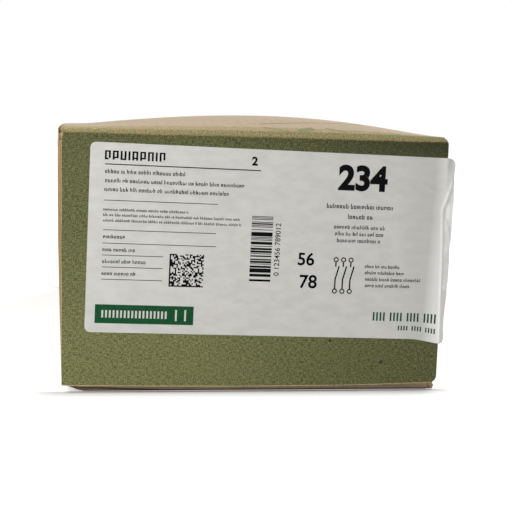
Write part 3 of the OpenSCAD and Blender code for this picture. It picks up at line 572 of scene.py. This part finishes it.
for end in ("front", "rear"):
    board_flap(f"{end}_outer_flap", (0, 0, HEIGHT - STRIP_ON_FLAP), (0, 0, -1),
               lambda x, y, z: (x, z - HEIGHT))
    board_flap(f"{end}_inner_flap", (0, 0, STRIP_ON_FLAP), (0, 0, 1), lambda x, y, z: (x, -z))
    for side, x in (("left", -1), ("right", 1)):
        board_flap(f"{end}_{side}_dust_flap", (x * (HALF_W - STRIP_ON_FLAP), 0, 0), (-x, 0, 0),
                   lambda x, y, z: (z, HALF_W - np.abs(x)))

# %% [markdown]
# ## The creases
# A crease is where the board was crushed along a line, so that it bends there like a hinge. The outer
# paper runs round it in a small arc, and the crushed board behind it is thinner than elsewhere. Each
# crease is a strip of its own: a cube is cut into rows and columns, and a rule wraps it round the corner.

# %% Crease strips
QUARTER = math.pi / 2 * CREASE_R
# The crushed board's thickness at the panel, where the strip lies over the tube
THINNEST = 0.12


def crease_strip(end, flap, corner, flap_way, width_way, low, high):
    """A strip round a crease. low and high give its width limits by the distance from the corner."""
    outer, surface = flap == "outer", olive if (end, flap) == ("front", "outer") else kraft
    bpy.ops.mesh.primitive_cube_add(size=1)
    strip = start(f"{end}_{flap}_crease", (1, 1, 1))
    edit(strip)
    cut("y", 23)
    cut("x", 35)
    panel_way = (0, -np.sign(corner[1]), 0)
    corner, panel_way, flap_way, width_way = np.array((corner, panel_way, flap_way, width_way), float)
    notes = {}

    def wrap(x, y, z):
        # s runs along the board, from the panel to the flap, with 0 in the middle of the arc
        s = (y + 0.5) * (STRIP_ON_PANEL + STRIP_ON_FLAP - 2 * CREASE_R + QUARTER)
        s = s - (STRIP_ON_PANEL - CREASE_R) - QUARTER / 2
        angle = np.clip(s / CREASE_R + math.pi / 4, 0, math.pi / 2)
        # a and b are the distances from the corner along the panel and along the flap
        a = CREASE_R - CREASE_R * np.sin(angle) + np.clip(-s - QUARTER / 2, 0, None)
        b = CREASE_R - CREASE_R * np.cos(angle) + np.clip(s - QUARTER / 2, 0, None)
        thicker = (BOARD - THINNEST) * step(s, -1, QUARTER / 2 + STRIP_ON_FLAP - CREASE_R)
        thick = (z + 0.5) * (THINNEST + thicker)
        bottom, top = low(b), high(b)
        w = bottom + (x + 0.5) * (top - bottom)
        points = (corner + np.outer(a + thick * np.sin(angle), panel_way)
                  + np.outer(b + thick * np.cos(angle), flap_way) + np.outer(w, width_way))
        if outer:
            points[:, 2] += bulge(points[:, 0], points[:, 1])
        # On the UV map the arc is as long as the two legs of its corner
        run = np.interp(np.abs(s), [0, QUARTER / 2, QUARTER / 2 + 50], [0, CREASE_R, CREASE_R + 50])
        notes["flat"] = (w, np.where(s < 0, run, -run))
        return points.T

    reshape(strip, wrap)
    edit(strip)
    bpy.ops.mesh.normals_make_consistent(inside=False)
    bpy.ops.object.mode_set(mode="OBJECT")
    lay_out(strip, lambda x, y, z: notes["flat"])
    if not outer:
        reshape(strip, pressed)
    strip.data.materials.append(surface)
    smooth(strip, 50)
    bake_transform(strip)
    print(count(strip))


def straight(end, slope=0):
    """An end of a crease that slants by a slope from 3 mm past the corner."""
    return lambda b: end + slope * np.clip(b - 3, 0, None)


def rounded(end):
    """The right end of an outer crease, which starts at 103.2 mm and reaches its end 4 mm further on."""
    return lambda b: end - (end - 103.2) * np.clip(1 - b / 4, 0, 1) ** 2


def nib(b):
    """The left end of the front crease, where a torn nib of board stands out."""
    return -104.6 - 1.3 * step(b, 0.2, 1.6) * (1 - step(b, 3.5, 6))


# How far the dust flaps' creases stay from the floor and from the top
DUST_INSET = 7
for end, y, left, right in (("front", -1, nib, 106), ("rear", 1, straight(-104.1), 105)):
    crease_strip(end, "outer", (0, y * HALF_L, HEIGHT), (0, 0, -1), (-y, 0, 0), left, rounded(right))
    crease_strip(end, "inner", (0, y * (HALF_L - INNER_CREASE), 0), (0, 0, 1), (-y, 0, 0),
                 straight(-97), straight(100.5))
    for side, x in (("left", -1), ("right", 1)):
        crease_strip(end, f"{side}_dust", (x * HALF_W, y * (HALF_L - DUST_CREASE), 0), (-x, 0, 0),
                     (0, 0, 1), straight(DUST_INSET, 1), straight(HEIGHT - DUST_INSET, -0.52))

# %% [markdown]
# ## The label
# A sheet of coated label paper, 4 in high, is stuck on the flap a little askew. On the right it runs
# past the flap's edge, where it lifts, bends back and is crumpled. One rule gives the place of each of
# its points, and the print uses the same rule, so the ink lies on the paper everywhere. The paper isn't
# quite opaque, so it is paler where it stands free of the green board. Painted shade darkens its face
# towards the right end and the top of the loose end.

# %% Label
LABEL_W, LABEL_H, LABEL_T = 200.2, 101.6, 0.12
LABEL_X, LABEL_Z, TILT = -89.4, 135.1, math.radians(1.2)
# Radius of the label's corners. The one at the top right is worn rounder
LABEL_R, WORN_R = 3.0, 4.4
# Thickness of the glue and of the ink
GLUE, INK_T = 0.02, 0.02
# Where the flap's edge lies, and how narrowly the paper bends round it
FLAP_EDGE, LIP_R = 105.0, 2.4
random.seed(7)


def fold(u, v, u0, v0, u1, v1, height, width):
    """A soft ridge along a line on the label, as a height in mm."""
    length = math.hypot(u1 - u0, v1 - v0)
    along = ((u - u0) * (u1 - u0) + (v - v0) * (v1 - v0)) / length
    off = ((u - u0) * (v1 - v0) - (v - v0) * (u1 - u0)) / length
    return height * np.exp(-(off / width) ** 2) * step(along, -4, 3) * step(-along, -length - 4, -length + 3)


# Each fold runs from one place on the label to another, with its height and its width, in mm
FOLDS = [(182, 14.5, 188, 17.6, 0.42, 0.7), (188, 17.6, 199, 17.2, 0.5, 0.7),
         (185, 12.5, 199, 13.6, 0.3, 0.8), (199, 14, 194, 30, 0.6, 0.8), (194.3, 28, 196.9, 101, 0.5, 0.7),
         (170, 84, 186, 101, 0.12, 1.6), (178, 52, 190, 49, 0.14, 1.3), (180, 66, 192, 69, 0.12, 1.2),
         (197, 36, 200, 47, 0.3, 0.9)]


def label_point(u, v, over=0.0):
    """A place on the label's face: u to the right and v down from its corner, in mm."""
    x = LABEL_X + u * math.cos(TILT) - v * math.sin(TILT)
    z = LABEL_Z - u * math.sin(TILT) - v * math.cos(TILT)
    # The paper stands off the board along its right end, most of all lower down, and its corner sags
    loose = 0.75 * step(u, 187, 196) * step(v, 30, 60)
    folded = np.minimum(sum(fold(u, v, *f) for f in FOLDS), 0.6) * step(u, 165, 185)
    rise = folded + loose + LABEL_T + GLUE
    sag = 2.2 * step(u, 180, 199) * step(v, 82, 101)
    edge = FLAP_EDGE + edge_bulge(z)
    past = np.clip(x - edge, 0, None)
    curl = math.radians(7) + math.radians(30) * step(v, 40, 101) + math.radians(6) * np.sin(v / 6.3)
    bend = np.minimum(past / LIP_R, curl)
    beyond = np.clip(past - LIP_R * curl, 0, None)
    along = LIP_R * np.sin(bend) + beyond * np.cos(curl)
    back = LIP_R * (1 - np.cos(bend)) + beyond * np.sin(curl)
    # Three waves of unlike lengths crumple the loose end
    crumple = 0.3 * step(past, 0.5, 3) * (np.sin(v / 3.1 + 1) + 0.6 * np.sin(v / 1.7) + 0.4 * np.sin(v / 0.9))
    x = np.where(past > 0, edge + along + 0.7 * crumple, x)
    y = -HALF_L - rise - over + back + crumple
    return x, y, z - sag


def round_corner(u, v):
    """Pulls the corners of a rectangular grid onto quarter circles."""
    radius = np.where((u > LABEL_W / 2) & (v < LABEL_H / 2), WORN_R, LABEL_R)
    cu = np.clip(u, radius, LABEL_W - radius)
    cv = np.clip(v, radius, LABEL_H - radius)
    du, dv = u - cu, v - cv
    reach = np.hypot(du, dv)
    squeeze = np.where(reach > 0, np.maximum(np.abs(du), np.abs(dv)) / np.maximum(reach, 1e-9), 1)
    return cu + du * squeeze, cv + dv * squeeze


def closer_right(x):
    """Crowds the grid's columns towards the right end, where the wrinkles are."""
    return LABEL_W * (1 - (1 - np.clip(x / LABEL_W + 0.5, 0, 1)) ** 1.5)


bpy.ops.mesh.primitive_grid_add(x_subdivisions=200, y_subdivisions=160, size=1)
label = start("shipping_label_sheet", (LABEL_W, LABEL_H, 1))
reshape(label, lambda x, y, z: label_point(*round_corner(closer_right(x), LABEL_H / 2 - y)))
apply_modifier(label, "SOLIDIFY", thickness=LABEL_T * MM, offset=-1)
smooth(label, 45)

paper, add, shader = finish("coated_label_paper", "#d6d4ce", Roughness=0.5, IOR=1.5, Specular_IOR_Level=0.4)
place = add("TexCoord", out="Object")
streak = add("Mapping", place, Scale=(0.3, 1, 0.7))
mottle = add("TexNoise", streak, Scale=1 / (2.4 * MM), Detail=3)
tooth = add("TexNoise", place, Scale=1 / (0.9 * MM), Detail=2)
spot = add("SeparateXYZ", place).node.outputs
# The free end starts 4 mm further right at the top than at the foot
seam = add("plus", spot["X"], add("times", along(add, spot["Z"], 45, 115), -4 * MM))
# Towards its right end the face is greyer, as painted shade
face = layered(add, "#d5d4cf", (mottle, 0.35, 0.65, 0, 1, "#cdccc7"),
               (spot["X"], 76 * MM, 92 * MM, 0, 0.5, "#c3c2bc"), (seam, 95 * MM, 104 * MM, 0, 1, "#f3f2ee"))
# Painted shade on the top of the loose end, where it curls away from the light, fading at its outer edge
lip_shade = chain(add, "times", along(add, spot["X"], 105.2, 106.4), along(add, spot["X"], 107.5, 110.5, 1, 0.2),
              along(add, spot["Z"], 112, 126, 0, 0.45))
fill(shader, Base_Color=add("mix", lip_shade, face, "#aeaaa3"),
     Roughness=add("range", mottle, 0.3, 0.7, 0.44, 0.56),
     Normal=add("Bump", Height=tooth, Distance=0.02 * MM, Strength=0.4))
label.data.materials.append(paper)
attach(label, "front_outer")
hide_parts("shipping_label")
print(count(label))

# %% [markdown]
# ## Print on the label
# The label carries black print: lines of text, thin rules, a bar code, a square code and the sign for a
# three-pole switch. The lines are small upright stems, most of them in pairs with a bar, in words that
# say nothing. The marks are laid out flat, in millimetres right and down from the label's corner. A line
# or a code is a grid that loses some of its faces, which is quicker than placing each mark. At last all
# marks are lifted onto the label's face by its own rule.

# %% Marks of the print
def lay(u0, v0, u1, v1, columns, rows):
    """In edit mode, adds a grid over a place of the label, selected, with its size in mm."""
    centre = mm((u0 + u1) / 2, -(v0 + v1) / 2, 0)
    bpy.ops.mesh.select_all(action="DESELECT")
    bpy.ops.mesh.primitive_grid_add(x_subdivisions=columns, y_subdivisions=rows, size=1, location=centre)
    bpy.ops.transform.resize(value=mm(u1 - u0, v1 - v0, 1), center_override=centre)


def thin_out(columns, rows, keep):
    """Deletes the faces of the newest grid for which keep(column, row) is false."""
    mesh = bmesh.from_edit_mesh(bpy.context.object.data)
    newest = [f for f in mesh.faces if f.select]
    low = Vector((min(f.calc_center_median()[i] for f in newest) for i in (0, 1)))
    high = Vector((max(f.calc_center_median()[i] for f in newest) for i in (0, 1)))
    for face in newest:
        spot = face.calc_center_median()
        column = round((spot.x - low.x) / max(high.x - low.x, 1e-9) * (columns - 1))
        row = round((high.y - spot.y) / max(high.y - low.y, 1e-9) * (rows - 1))
        face.select_set(not keep(column, row))
    bmesh.update_edit_mesh(bpy.context.object.data)
    bpy.ops.mesh.delete(type="FACE")


def strokes(u0, v0, u1, v1, wide=0.165, low=2):
    """A line of small print that says nothing. wide is a stem's width as a share of the line's height,
    and low is the row where short stems start."""
    rows = 6
    columns = int((u1 - u0) / ((v1 - v0) * wide))
    kept, column, word = set(), 0, random.randint(3, 9)
    while column + 3 <= columns:
        if word == 0:
            word = random.randint(2, 9)
            column += 2
            continue
        word -= 1
        kept |= {(column, row) for row in range(0 if random.random() < 0.3 else low, rows)}
        if random.random() < 0.2:
            column += 2
            continue
        top = random.choice((low, low, low + 1))
        kept |= {(column + 2, row) for row in range(top, random.choice((rows, rows, rows - 1)))}
        bars = random.choice(((low,), (5,), (low, 4), (low, 5), (low, 5)))
        kept |= {(column + 1, row) for row in bars}
        column += 4
    lay(u0, v0, u1, v1, columns, rows)
    thin_out(columns, rows, lambda c, r: (c, r) in kept)


def flat_piece(name):
    """A new drawing board: an empty mesh in edit mode."""
    bpy.ops.mesh.primitive_plane_add(size=1)
    piece = start(name, (1, 1, 1))
    edit(piece)
    bpy.ops.mesh.delete(type="VERT")
    return piece


def on_label(piece, ink):
    """Lifts a flat drawing onto the label's face and gives it its ink."""
    reshape(piece, lambda x, y, z: label_point(x, -y, INK_T))
    piece.data.materials.append(ink)
    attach(piece, "front_outer")
    print(count(piece))


# %% [markdown]
# ### Black print
# The print is resin from a thermal ribbon, a dull black that is greyer where the ribbon ran thin. Many
# finishes are like it, two close tones mixed by one noise, so one function makes them.

# %% Black ink
def mottled(name, light, dark, grain_mm, bump_mm=0.0, stretch=1.0, low=0.35, high=0.65, detail=3, **sockets):
    """A finish of two close tones on Object coordinates. stretch draws the grain out along X."""
    material, add, shader = finish(name, light, **sockets)
    place = add("Mapping", add("TexCoord", out="Object"), Scale=(1 / stretch, 1, 1))
    grain = add("TexNoise", place, Scale=1 / (grain_mm * MM), Detail=detail)
    fill(shader, Base_Color=add("mix", add("range", grain, low, high), light, dark))
    if bump_mm:
        fill(shader, Normal=add("Bump", Height=grain, Distance=bump_mm * MM, Strength=0.5))
    return material


black_ink = mottled("thermal_transfer_black_resin", "#050506", "#121214", 1.4, low=0.5, high=0.8,
                    Roughness=0.7, IOR=1.5, Specular_IOR_Level=0.06)
print(black_ink.name, len(black_ink.node_tree.nodes), "nodes")

# %% Black marks
# Left, top, right and foot of each line of text, right and down from the label's corner, in mm
TEXT_LINES = [
    (8.1, 13.9, 51.6, 16.2), (8.3, 18.7, 82.6, 21.0), (7.9, 23.4, 74.6, 25.7), (7.8, 34.5, 53.0, 36.1),
    (7.8, 37.4, 81.8, 39.0), (7.9, 40.3, 82.5, 41.9), (8.2, 48.6, 20.8, 50.8), (8.1, 55.6, 25.2, 57.8),
    (8.2, 61.9, 31.6, 64.1), (8.1, 68.4, 26.0, 70.6), (128.6, 27.3, 167.1, 30.0),
    (140.7, 32.9, 155.0, 35.6), (133.2, 38.9, 162.7, 41.2), (134.0, 42.6, 161.2, 44.9),
    (135.3, 46.3, 160.3, 48.6), (151.9, 60.4, 171.5, 62.4), (152.1, 63.9, 174.6, 65.9),
    (152.4, 67.5, 184.6, 69.5), (152.6, 71.0, 179.0, 73.0)]
# Left end, height, right end and thickness of each rule
RULES = [(8.0, 11.4, 91.3, 0.55), (8.1, 30.5, 68.9, 0.35), (8.1, 46.3, 68.6, 0.35), (8.0, 53.4, 68.9, 0.35),
         (8.1, 59.8, 40.5, 0.35), (8.2, 66.2, 40.4, 0.35), (8.0, 72.8, 40.5, 0.35)]
BAR_MODULES, SQUARE_MODULES = 95, 24
marks = flat_piece("label_print")
for line in TEXT_LINES:
    strokes(*line)
strokes(7.7, 4.2, 42.7, 9.0, wide=0.21, low=0)
for u0, v, u1, thick in RULES:
    lay(u0, v - thick / 2, u1, v + thick / 2, 30, 1)
# A bar code starts and ends with two thin bars, and a square code has a full left and lower edge
lay(87.7, 36.0, 99.4, 71.6, 1, BAR_MODULES)
bars = [random.random() < 0.55 for _ in range(BAR_MODULES)]
thin_out(1, BAR_MODULES, lambda c, r: bars[r] or r in (0, 2, BAR_MODULES - 3, BAR_MODULES - 1))
lay(44.0, 58.0, 62.6, 75.8, SQUARE_MODULES, SQUARE_MODULES)
modules = {(c, r): random.random() < 0.5 for c in range(SQUARE_MODULES) for r in range(SQUARE_MODULES)}
thin_out(SQUARE_MODULES, SQUARE_MODULES, lambda c, r: modules[c, r] or c == 0 or r == SQUARE_MODULES - 1)
on_label(marks, black_ink)

# %% [markdown]
# ### Plain numbers
# Text objects give clean figures. They are turned to meshes, because a text object can't follow the
# label's face, and they lie where it is nearly flat, because their faces are long and thin.

# %% Numbers on the label
# The share of a text object's size that one of its figures is high
FIGURE_SHARE = 0.73


def figures(text, u, v, height, thicker, turn=0):
    """Plain figures with their middle at a place of the label. height is that of a figure in mm."""
    bpy.ops.object.text_add()
    words = bpy.context.object
    words.data.body = text
    words.data.size = height / FIGURE_SHARE * MM
    words.data.offset = thicker * MM
    words.data.align_x = words.data.align_y = "CENTER"
    words.rotation_euler = (0, 0, turn)
    words.location = mm(u, -v, 0)
    take(words)
    bpy.ops.object.convert(target="MESH")
    bpy.ops.object.transform_apply(location=True, rotation=True, scale=True)
    return bpy.context.object


made = [figures("234", 148.0, 13.9, 13.3, 0.75), figures("2", 87.8, 6.7, 4.6, 0.25),
        figures("0 123456 789012", 102.6, 53.8, 3.0, 0.03, turn=math.pi / 2),
        figures("56", 118.6, 58.9, 7.0, 0.2), figures("78", 120.4, 71.3, 7.4, 0.2)]
deselect_all()
for words in made:
    words.select_set(True)
bpy.context.view_layer.objects.active = made[0]
bpy.ops.object.join()
numbers = bpy.context.object
numbers.name = numbers.data.name = "label_numbers"
on_label(numbers, black_ink)

# %% [markdown]
# ### The sign for a three-pole switch
# It is the common drawing of a contact, three times side by side: a round terminal at each end, and
# between them a lever that stands open. Each terminal is a circle that is inset and loses its middle.

# %% Switch sign
SIGN_LEFT, POLE_SPACING = 135.5, 4.2
TOP_TERMINAL, LOW_TERMINAL, TERMINAL_R, LINE_W = 58.3, 75.7, 1.45, 0.62
LEVER_FOOT, LEVER_TURN = 69.3, math.radians(14)
STEM = 0.4
sign = flat_piece("label_switch_sign")
for pole in range(3):
    u = SIGN_LEFT + pole * POLE_SPACING
    for v in (TOP_TERMINAL, LOW_TERMINAL):
        bpy.ops.mesh.select_all(action="DESELECT")
        bpy.ops.mesh.primitive_circle_add(vertices=20, radius=TERMINAL_R * MM, fill_type="NGON",
                                          location=mm(u, -v, 0))
        bpy.ops.mesh.inset(thickness=LINE_W * MM)
        bpy.ops.mesh.delete(type="FACE")
    lay(u - STEM, 59.8, u + STEM, 62.2, 1, 2)
    lay(u - STEM, 69.2, u + STEM, 74.4, 1, 3)
    lay(u - STEM, 61.6, u + STEM, LEVER_FOOT, 1, 4)
    bpy.ops.transform.rotate(value=LEVER_TURN, orient_axis="Z", center_override=mm(u, -LEVER_FOOT, 0))
on_label(sign, black_ink)

# %% [markdown]
# ### Green bars
# A bar with plain strokes left out of it and two short rows of strokes are printed at the label's foot.
# The ink is denser than the flap's, since it lies on coated paper.

# %% Green bars on the label
green_ink = mottled("green_offset_ink_on_coated_paper", "#0e4525", "#17502f", 2.2, low=0.3, high=0.7,
                    detail=2, Roughness=0.6, IOR=1.5, Specular_IOR_Level=0.12)
bars = flat_piece("label_green_bars")
lay(5.2, 86.4, 58.2, 96.6, 106, 10)
# Pairs of strokes are left out of the bar's middle rows, and two taller ones near its end
gaps = {column for first in range(7, 75, 8) for column in (first, first + 1, first + 4, first + 5)}
thin_out(106, 10, lambda c, r: not (3 <= r <= 6 and c in gaps or 2 <= r <= 7 and c in (86, 87, 96, 97)))
for u, v, deep, columns in ((158.1, 86.9, 4.8, 37), (172.9, 94.2, 2.6, 27)):
    lay(u, v, 194.2, v + deep, columns, 4)
    thin_out(columns, 4, lambda c, r: c % 2 == 0 and c % 10 != 8)
on_label(bars, green_ink)

# %% [markdown]
# ### Green bars on the top
# The flap's printing plate left a few slanted bars on the top panel. They are grids that are laid in
# place, turned, and lifted onto the bulged board by its own rule. They follow the curve of the crease.

# %% Bars on the top panel
# Middle, length, width and turn in degrees of each bar
TOP_BARS = [(34, -177, 67, 0.8, 15), (10, -195, 14, 1.2, -23), (27, -194.5, 10, 5, 30),
            (43.5, -193, 12.5, 1.6, -29), (56, -193, 8.5, 0.8, 12), (71, -195, 18, 0.8, -4)]
# How far the bars lie over the board's rule, so that its coarser facets don't hide them
BAR_LIFT = 0.06
top_bars = flat_piece("top_panel_bars")
for x, y, length, width, turn in TOP_BARS:
    lay(x - length / 2, -y - width / 2, x + length / 2, -y + width / 2, 24, 6)
    bpy.ops.transform.rotate(value=math.radians(-turn), orient_axis="Z", center_override=mm(x, y, 0))
reshape(top_bars, lambda x, y, z: (x, y, HEIGHT + BAR_LIFT + bulge(x, y) - crease_drop(HALF_L - np.abs(y))))
worn_ink = mottled("olive_flexo_ink_worn", "#868c5c", "#a89e78", 1.1, high=0.6, Roughness=0.8,
                   **KRAFT_GLOSS)
top_bars.data.materials.append(worn_ink)
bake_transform(top_bars)
print(count(top_bars))

# %% [markdown]
# ## Finishes of the switch inside
# The switch shows when the flaps stand open. Its solids need only the finish of the real material: powder
# coat has the fine bumps of orange peel, zinc plating a cloudy grey lustre, bare copper darkens in spots,
# and a phenolic moulding is smooth with a little flow. The function for two close tones makes them all.

# %% Finishes on the CAD model's own solids
def dress(material, *nodes):
    for name in nodes:
        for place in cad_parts[name].material_slots:
            place.material = material


dress(mottled("kraft_board_inner_liner", "#c8b494", "#b09a78", 2.5, 0.03, Roughness=0.88, **KRAFT_GLOSS),
      "glue_tab")
dress(mottled("polyester_powder_coat_on_steel", "#8f9599", "#858b8f", 1.1, 0.04, Roughness=0.5, IOR=1.5),
      "enclosure_tub", "enclosure_cover", "knockout_discs", "hub_closing_plate")
dress(mottled("zinc_electroplate_on_steel", "#c2c5c8", "#a6aaad", 3.0, Metallic=1.0, Roughness=0.36),
      "cover_hinge_pins", "cover_hasp", "hub_plate_screws", "base_screws", "lug_screws", "blade_pins",
      "mechanism_plate", "operating_shaft", "drive_spring", "ground_screws")
dress(mottled("rolled_copper_bar", "#be7a55", "#a5623f", 2.2, stretch=3.0, Metallic=1.0, Roughness=0.32),
      "line_terminals", "load_terminals", "switch_blades")
dress(mottled("black_phenolic_moulding", "#1c1c1d", "#27272a", 1.4, 0.02, Roughness=0.42, IOR=1.55),
      "moulded_base", "crossbar", "handle_base")
dress(mottled("clear_polycarbonate_sheet", "#e6edee", "#dde6e8", 8.0, Roughness=0.08, IOR=1.585,
              Transmission_Weight=0.92), "line_shield")
dress(mottled("red_nylon_moulding", "#a8281f", "#96211b", 1.6, 0.02, Roughness=0.4, IOR=1.53),
      "switch_handle")
dress(mottled("extruded_aluminium_bar", "#cdcfd0", "#b6b9bb", 0.8, stretch=12.0, Metallic=1.0,
              Roughness=0.38), "ground_bar")
print("finishes", [material.name for material in bpy.data.materials])

# %% [markdown]
# ## Floor and light
# The floor is a pale sheet that shows white, because it glows a little, but only as seen straight, in a
# mirror or through glass, and it keeps the carton's soft shadow. One large lamp stands at the upper left
# in front, as beside a window, two weaker ones even out the top and the far side, and the world fills in
# the rest. All are at a plain level, at which a colour comes out about as it is written.

# %% Floor, lamps and world
bpy.ops.mesh.primitive_plane_add(size=12, location=(0, 0, -0.4 * MM))
floor = bpy.context.object
floor.name = "floor"


def seen(add):
    """1 for camera, glossy and transmission rays."""
    rays = add("LightPath").node.outputs
    first = add("Math", rays["Is Camera Ray"], rays["Is Glossy Ray"], operation="MAXIMUM")
    return add("Math", first, rays["Is Transmission Ray"], operation="MAXIMUM")


# The glow is weaker close to the carton, and most of all in front of its ends, so that its shadow shows
pale, add, shader = finish("pale_paper_sweep", "#f4f4f4", Roughness=0.9)
# Half the length on which the carton stands
FOOT_L = HALF_L - INNER_CREASE - CREASE_R
away = add("TexCoord", out="Object")
for operation, value in (("ABSOLUTE", (0, 0, 0)), ("SUBTRACT", mm(HALF_W, FOOT_L, 0))):
    away = add("VectorMath", away, value, operation=operation)
at_end = add("range", add("SeparateXYZ", away).node.outputs["Y"], -0.5 * MM, 0)
away = add("VectorMath", away, (0, 0, 0), operation="MAXIMUM")
away = add("VectorMath", away, operation="LENGTH")
amount = chain(add, "plus", 0.55, add("times", at_end, along(add, away, 1, 20, -0.5, 0)),
               along(add, away, 40, 250, 0, 0.3))
glow = add("Emission", "#ffffff", add("times", seen(add), amount))
fill(pale.node_tree.nodes["Material Output"], Surface=add("AddShader", shader.outputs[0], glow))
floor.data.materials.append(pale)

world = bpy.data.worlds.new("studio")
bpy.context.scene.world = world
world.use_nodes = True
add = partial(add_node, world.node_tree)
fill(world.node_tree.nodes["Background"], Color="#ffffff", Strength=add("range", seen(add), 0, 1, 0.30, 1.0))


def lamp(name, place, aim, size, watts):
    """A square soft lamp that looks at a point."""
    bpy.ops.object.light_add(type="AREA", location=mm(*place))
    light = bpy.context.object
    light.name = name
    light.data.size = size * MM
    light.data.energy = watts
    light.rotation_euler = (Vector(aim) - Vector(place)).to_track_quat("-Z", "Y").to_euler()


lamp("window_lamp", (-420, -560, 420), (-20, -200, 90), 360, 2.9)
lamp("side_lamp", (300, -110, 330), (60, -170, 142), 200, 0.36)
lamp("back_lamp", (280, 620, 380), (0, 160, 80), 360, 1.5)
bpy.context.scene.view_settings.view_transform = "Standard"
